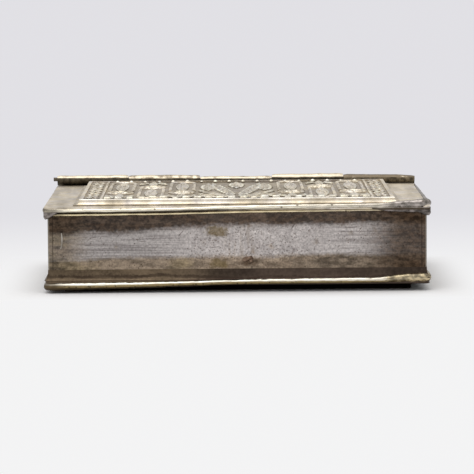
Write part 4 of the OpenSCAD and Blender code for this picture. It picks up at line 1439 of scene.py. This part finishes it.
class NEEDLECASE_OT_pad(bpy.types.Operator):
    """Sews and fills the needle pad, by cloth simulation, with its edge stitches"""
    bl_idname = "needle_case.pad"
    bl_label = "Needle pad"

    # The cover is sewn and filled at ten times its size, which suits the cloth simulation better
    WORK_SCALE = 10.0
    COVER_INSET = 0.35 * MM
    FILL_STEPS = 20
    FILL_REACH = 0.45 * MM
    # How far the seam draws the cover in, and how near to its edge
    SEAM_DRAW, SEAM_BAND = 0.4 * MM, 2 * MM
    # Half the width of the groove in which a needle lies
    GROOVE = 1.1 * MM

    def execute(self, context):
        pad = self.block()
        self.fill(pad)
        self.shape(pad)
        apply_modifier(pad, "SUBSURF", levels=1, render_levels=1)
        smooth(pad, 80.0)
        settle(pad, "pad", "case", wool_finish("pad_wool", rgb("cloth")), ["needle_pad"])
        self.stitches()
        return {"FINISHED"}

    def block(self):
        """The pad's cover at the working scale, a little smaller than its space."""
        scale = self.WORK_SCALE
        size = PAD[1] - PAD[0]
        pad = added(bpy.ops.mesh.primitive_cube_add, size=1.0)
        pad.scale = tuple((size[i] - (2 if i < 2 else 1) * self.COVER_INSET) * scale for i in range(3))
        apply_place()
        with edit_mode(pad):
            bpy.ops.mesh.bevel(offset=0.9 * MM * scale, segments=3, affect="EDGES")
        apply_modifier(pad, "REMESH", mode="VOXEL", voxel_size=0.85 * MM * scale)
        return pad

    def fill(self, pad):
        """Blows the cover up a little, and holds back how far any point may go."""
        rest = [v.co.copy() for v in pad.data.vertices]
        select_only(pad)
        cloth = pad.modifiers.new("Cloth", "CLOTH")
        cloth.settings.use_pressure = True
        cloth.settings.uniform_pressure_force = 4.0
        cloth.settings.effector_weights.gravity = 0.0
        scene = bpy.context.scene
        for step in range(1, self.FILL_STEPS + 1):
            scene.frame_set(step)
        bpy.ops.object.modifier_apply(modifier=cloth.name)
        scene.frame_set(1)
        cap = self.FILL_REACH * self.WORK_SCALE
        for v, start in zip(pad.data.vertices, rest):
            move = v.co - start
            if move.length > cap:
                v.co = start + move * (cap / move.length)
        pad.data.update()

    def shape(self, pad):
        """Brings the pad to its place, draws in its seam and beds the needles."""
        low, high = PAD
        centre, half = (low + high) / 2, (high - low) / 2
        for v in pad.data.vertices:
            co = v.co / self.WORK_SCALE + centre
            level = (co.z - centre.z) / half.z
            off = co - centre
            if max(abs(off.x) / half.x, abs(off.y) / half.y) > 0.96 and abs(level) < 0.5:
                draw = self.SEAM_DRAW * (1 - abs(level) * 2)
                for axis in (0, 1):
                    if abs(off[axis]) > half[axis] - self.SEAM_BAND:
                        co[axis] -= math.copysign(draw, off[axis])
            nearest = min(abs(co.x - place) for place in NEEDLE_PLACES)
            if level > 0 and nearest < self.GROOVE and NEEDLES[0].y - MM < co.y < NEEDLES[1].y + MM:
                co.z = min(co.z, high.z - NEEDLE_R * 0.55 + (nearest / self.GROOVE) ** 2 * NEEDLE_R)
            v.co = (max(low.x, min(high.x, co.x)), max(low.y, min(high.y, co.y)), max(co.z, low.z))
        pad.data.update()

    def stitches(self):
        """A line of running stitches round the pad, near its edge."""
        low, high = PAD
        inset, corner, pitch, length = 1.6 * MM, 1.5 * MM, 2.4 * MM, 1.3 * MM
        lift, bow, radius = 0.12 * MM, 0.28 * MM, 0.13 * MM
        lines = []
        for along, across in ((0, 1), (1, 0)):
            span = high[along] - low[along] - 2 * (inset + corner)
            count = int(span / pitch)
            for side in (low[across] + inset, high[across] - inset):
                for i in range(count):
                    middle = (low[along] + high[along]) / 2 + (i - (count - 1) / 2) * pitch
                    line = []
                    for t in (-1.0, -0.5, 0.0, 0.5, 1.0):
                        spot = Vector((0.0, 0.0, high.z + lift - bow * t * t))
                        spot[along] = middle + t * length / 2
                        spot[across] = side
                        line.append((spot, radius))
                    lines.append(line)
        thread = strokes(lines, 2)
        smooth(thread, 80.0)
        settle(thread, "pad_stitches", "case", thread_finish())


class NEEDLECASE_OT_band(bpy.types.Operator):
    """Lays the ribbon over the pad and the needles"""
    bl_idname = "needle_case.band"
    bl_label = "Needle band"

    def execute(self, context):
        low, high = BAND
        middle = (low.y + high.y) / 2
        thickness, lift, reach = 0.3 * MM, 0.2 * MM, 0.9 * MM
        band = cloth_grid(BAND, 220, 16)
        for v in band.data.vertices:
            nearest = min(abs(v.co.x - place) for place in NEEDLE_PLACES)
            over = math.exp(-(nearest / reach) ** 2) * (NEEDLE_R + 0.05 * MM)
            sag = 0.04 * MM * noise.noise(v.co / (4 * MM))
            v.co.z = PAD[1].z + lift + over + sag
            v.co.y += middle + 0.12 * MM * noise.noise(Vector((v.co.x / (9 * MM), 1.0, 0.0)))
        band.data.update()
        apply_modifier(band, "SOLIDIFY", thickness=thickness, offset=1.0)
        smooth(band, 60.0)
        settle(band, "needle_ribbon", "case", ribbon_finish(), ["needle_band"])
        return {"FINISHED"}


class NEEDLECASE_OT_lining(bpy.types.Operator):
    """Lays the cloth lining into the hollow of the lid's panel"""
    bl_idname = "needle_case.lining"
    bl_label = "Lid lining"

    def execute(self, context):
        low, high = LINING
        middle = (low + high) / 2
        thickness, gap = 0.35 * MM, 0.12 * MM
        lining = cloth_grid(LINING, 120, 80)
        for v in lining.data.vertices:
            share = max(abs(v.co.x) / (high.x - middle.x), abs(v.co.y) / (high.y - middle.y))
            hem = 0.12 * MM * math.exp(-((1 - share) * 40) ** 2)
            pucker = 0.09 * MM * noise.noise(v.co / (5 * MM)) * (1 - share ** 6)
            v.co.z = high.z - thickness - gap - hem + pucker
            v.co.x += middle.x
            v.co.y += middle.y
        lining.data.update()
        apply_modifier(lining, "SOLIDIFY", thickness=thickness, offset=1.0)
        smooth(lining, 60.0)
        settle(lining, "lid_lining_cloth", "lid", wool_finish("lining_wool", rgb("cloth")),
               ["lid_lining"])
        return {"FINISHED"}


class NEEDLECASE_OT_points(bpy.types.Operator):
    """Works out how far each named thing shows from its image point"""
    bl_idname = "needle_case.points"
    bl_label = "Image points"

    # How far in pixels, sideways and upwards, a wire's or a tube's top is looked for round its place
    NEAR, ABOVE = 4, 8

    def execute(self, context):
        whole = [seen(o.matrix_world @ v.co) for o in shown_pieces() for v in o.data.vertices]
        lid_wire, base_wire = self.shown("lid_wire"), self.shown("base_wire")
        tubes = [p for name in made if name.endswith("_tube") for p in self.shown(name)]
        ridge = [seen(v.co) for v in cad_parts["lid_cover"].data.vertices
                 if v.co.z > RIDGE_TOP - 0.4 * MM and v.co.y < FIELD_FRONT]
        found = {
            "object_left": (min(p[0] for p in whole), None),
            "object_right": (max(p[0] for p in whole), None),
            "object_top": (None, min(p[1] for p in whole)),
            "object_bottom": (None, max(p[1] for p in whole)),
            "lid_left_corner": min(lid_wire),
            "lid_right_corner": max(lid_wire),
            "hinge_left_end": self.top_at("hinge_left_end", tubes, min(tubes)[0]),
            "hinge_right_end": self.top_at("hinge_right_end", tubes, max(tubes)[0]),
            "pin_tip": min(self.shown("hinge_pin_wire")),
            "lid_edge_middle": self.top_at("lid_edge_middle", lid_wire, W / 2),
            "rim_middle": self.top_at("rim_middle", base_wire, W / 2),
            "ridge_front_left": min(ridge),
            "ridge_front_right": max(ridge),
            "solder_blob": self.middle("solder_blob"),
            "wall_crease": self.middle("wall_crease"),
            "front_tongues": (W / 2, self.middle("front_tongues")[1]),
            "back_beads": (IMAGE_POINTS["back_beads"][0], self.middle("back_beads")[1]),
        }
        off = {name: [None if a is None or b is None else round(a - b, 1) for a, b in zip(found[name], point)]
               for name, point in IMAGE_POINTS.items()}
        return {"FINISHED"}

    def shown(self, name):
        """The image points of a piece's vertices."""
        return [seen(v.co) for v in made[name].data.vertices]

    def top_at(self, name, points, x):
        """The highest image point near x that doesn't lie far above the named one."""
        above = IMAGE_POINTS[name][1] - self.ABOVE
        return x, min(p[1] for p in points if abs(p[0] - x) < self.NEAR and p[1] > above)

    def middle(self, name):
        """The middle of the box that a piece fills in the picture."""
        xs, ys = zip(*self.shown(name))
        return (min(xs) + max(xs)) / 2, (min(ys) + max(ys)) / 2


class NEEDLECASE_PT_panel(bpy.types.Panel):
    """Lists the case's pieces and its sizes and colours"""
    bl_label = "Needle case"
    bl_idname = "NEEDLECASE_PT_panel"
    bl_space_type = "VIEW_3D"
    bl_region_type = "UI"
    bl_category = "Needle case"

    def draw(self, context):
        for operator in OPERATORS:
            self.layout.operator(operator.bl_idname)
        for group in (context.scene.case_sizes, context.scene.case_colours, context.scene.case_studio):
            box = self.layout.box()
            for name in group.__annotations__:
                box.prop(group, name)


OPERATORS = (NEEDLECASE_OT_stage, NEEDLECASE_OT_sheet_metal, NEEDLECASE_OT_wires, NEEDLECASE_OT_hinge,
             NEEDLECASE_OT_ornament, NEEDLECASE_OT_wall_marks, NEEDLECASE_OT_needles, NEEDLECASE_OT_pad,
             NEEDLECASE_OT_band, NEEDLECASE_OT_lining, NEEDLECASE_OT_points)
GROUPS = {"case_sizes": CaseSizes, "case_colours": CaseColours, "case_studio": StudioSettings}


def register():
    for kind in (*GROUPS.values(), *OPERATORS, NEEDLECASE_PT_panel):
        bpy.utils.register_class(kind)
    for name, group in GROUPS.items():
        setattr(bpy.types.Scene, name, PointerProperty(type=group))


def unregister():
    for name in GROUPS:
        delattr(bpy.types.Scene, name)
    for kind in reversed((*GROUPS.values(), *OPERATORS, NEEDLECASE_PT_panel)):
        bpy.utils.unregister_class(kind)


def main():
    register()
    for operator in OPERATORS:
        getattr(bpy.ops.needle_case, operator.bl_idname.split(".")[1])()


if __name__ == "__main__":
    main()
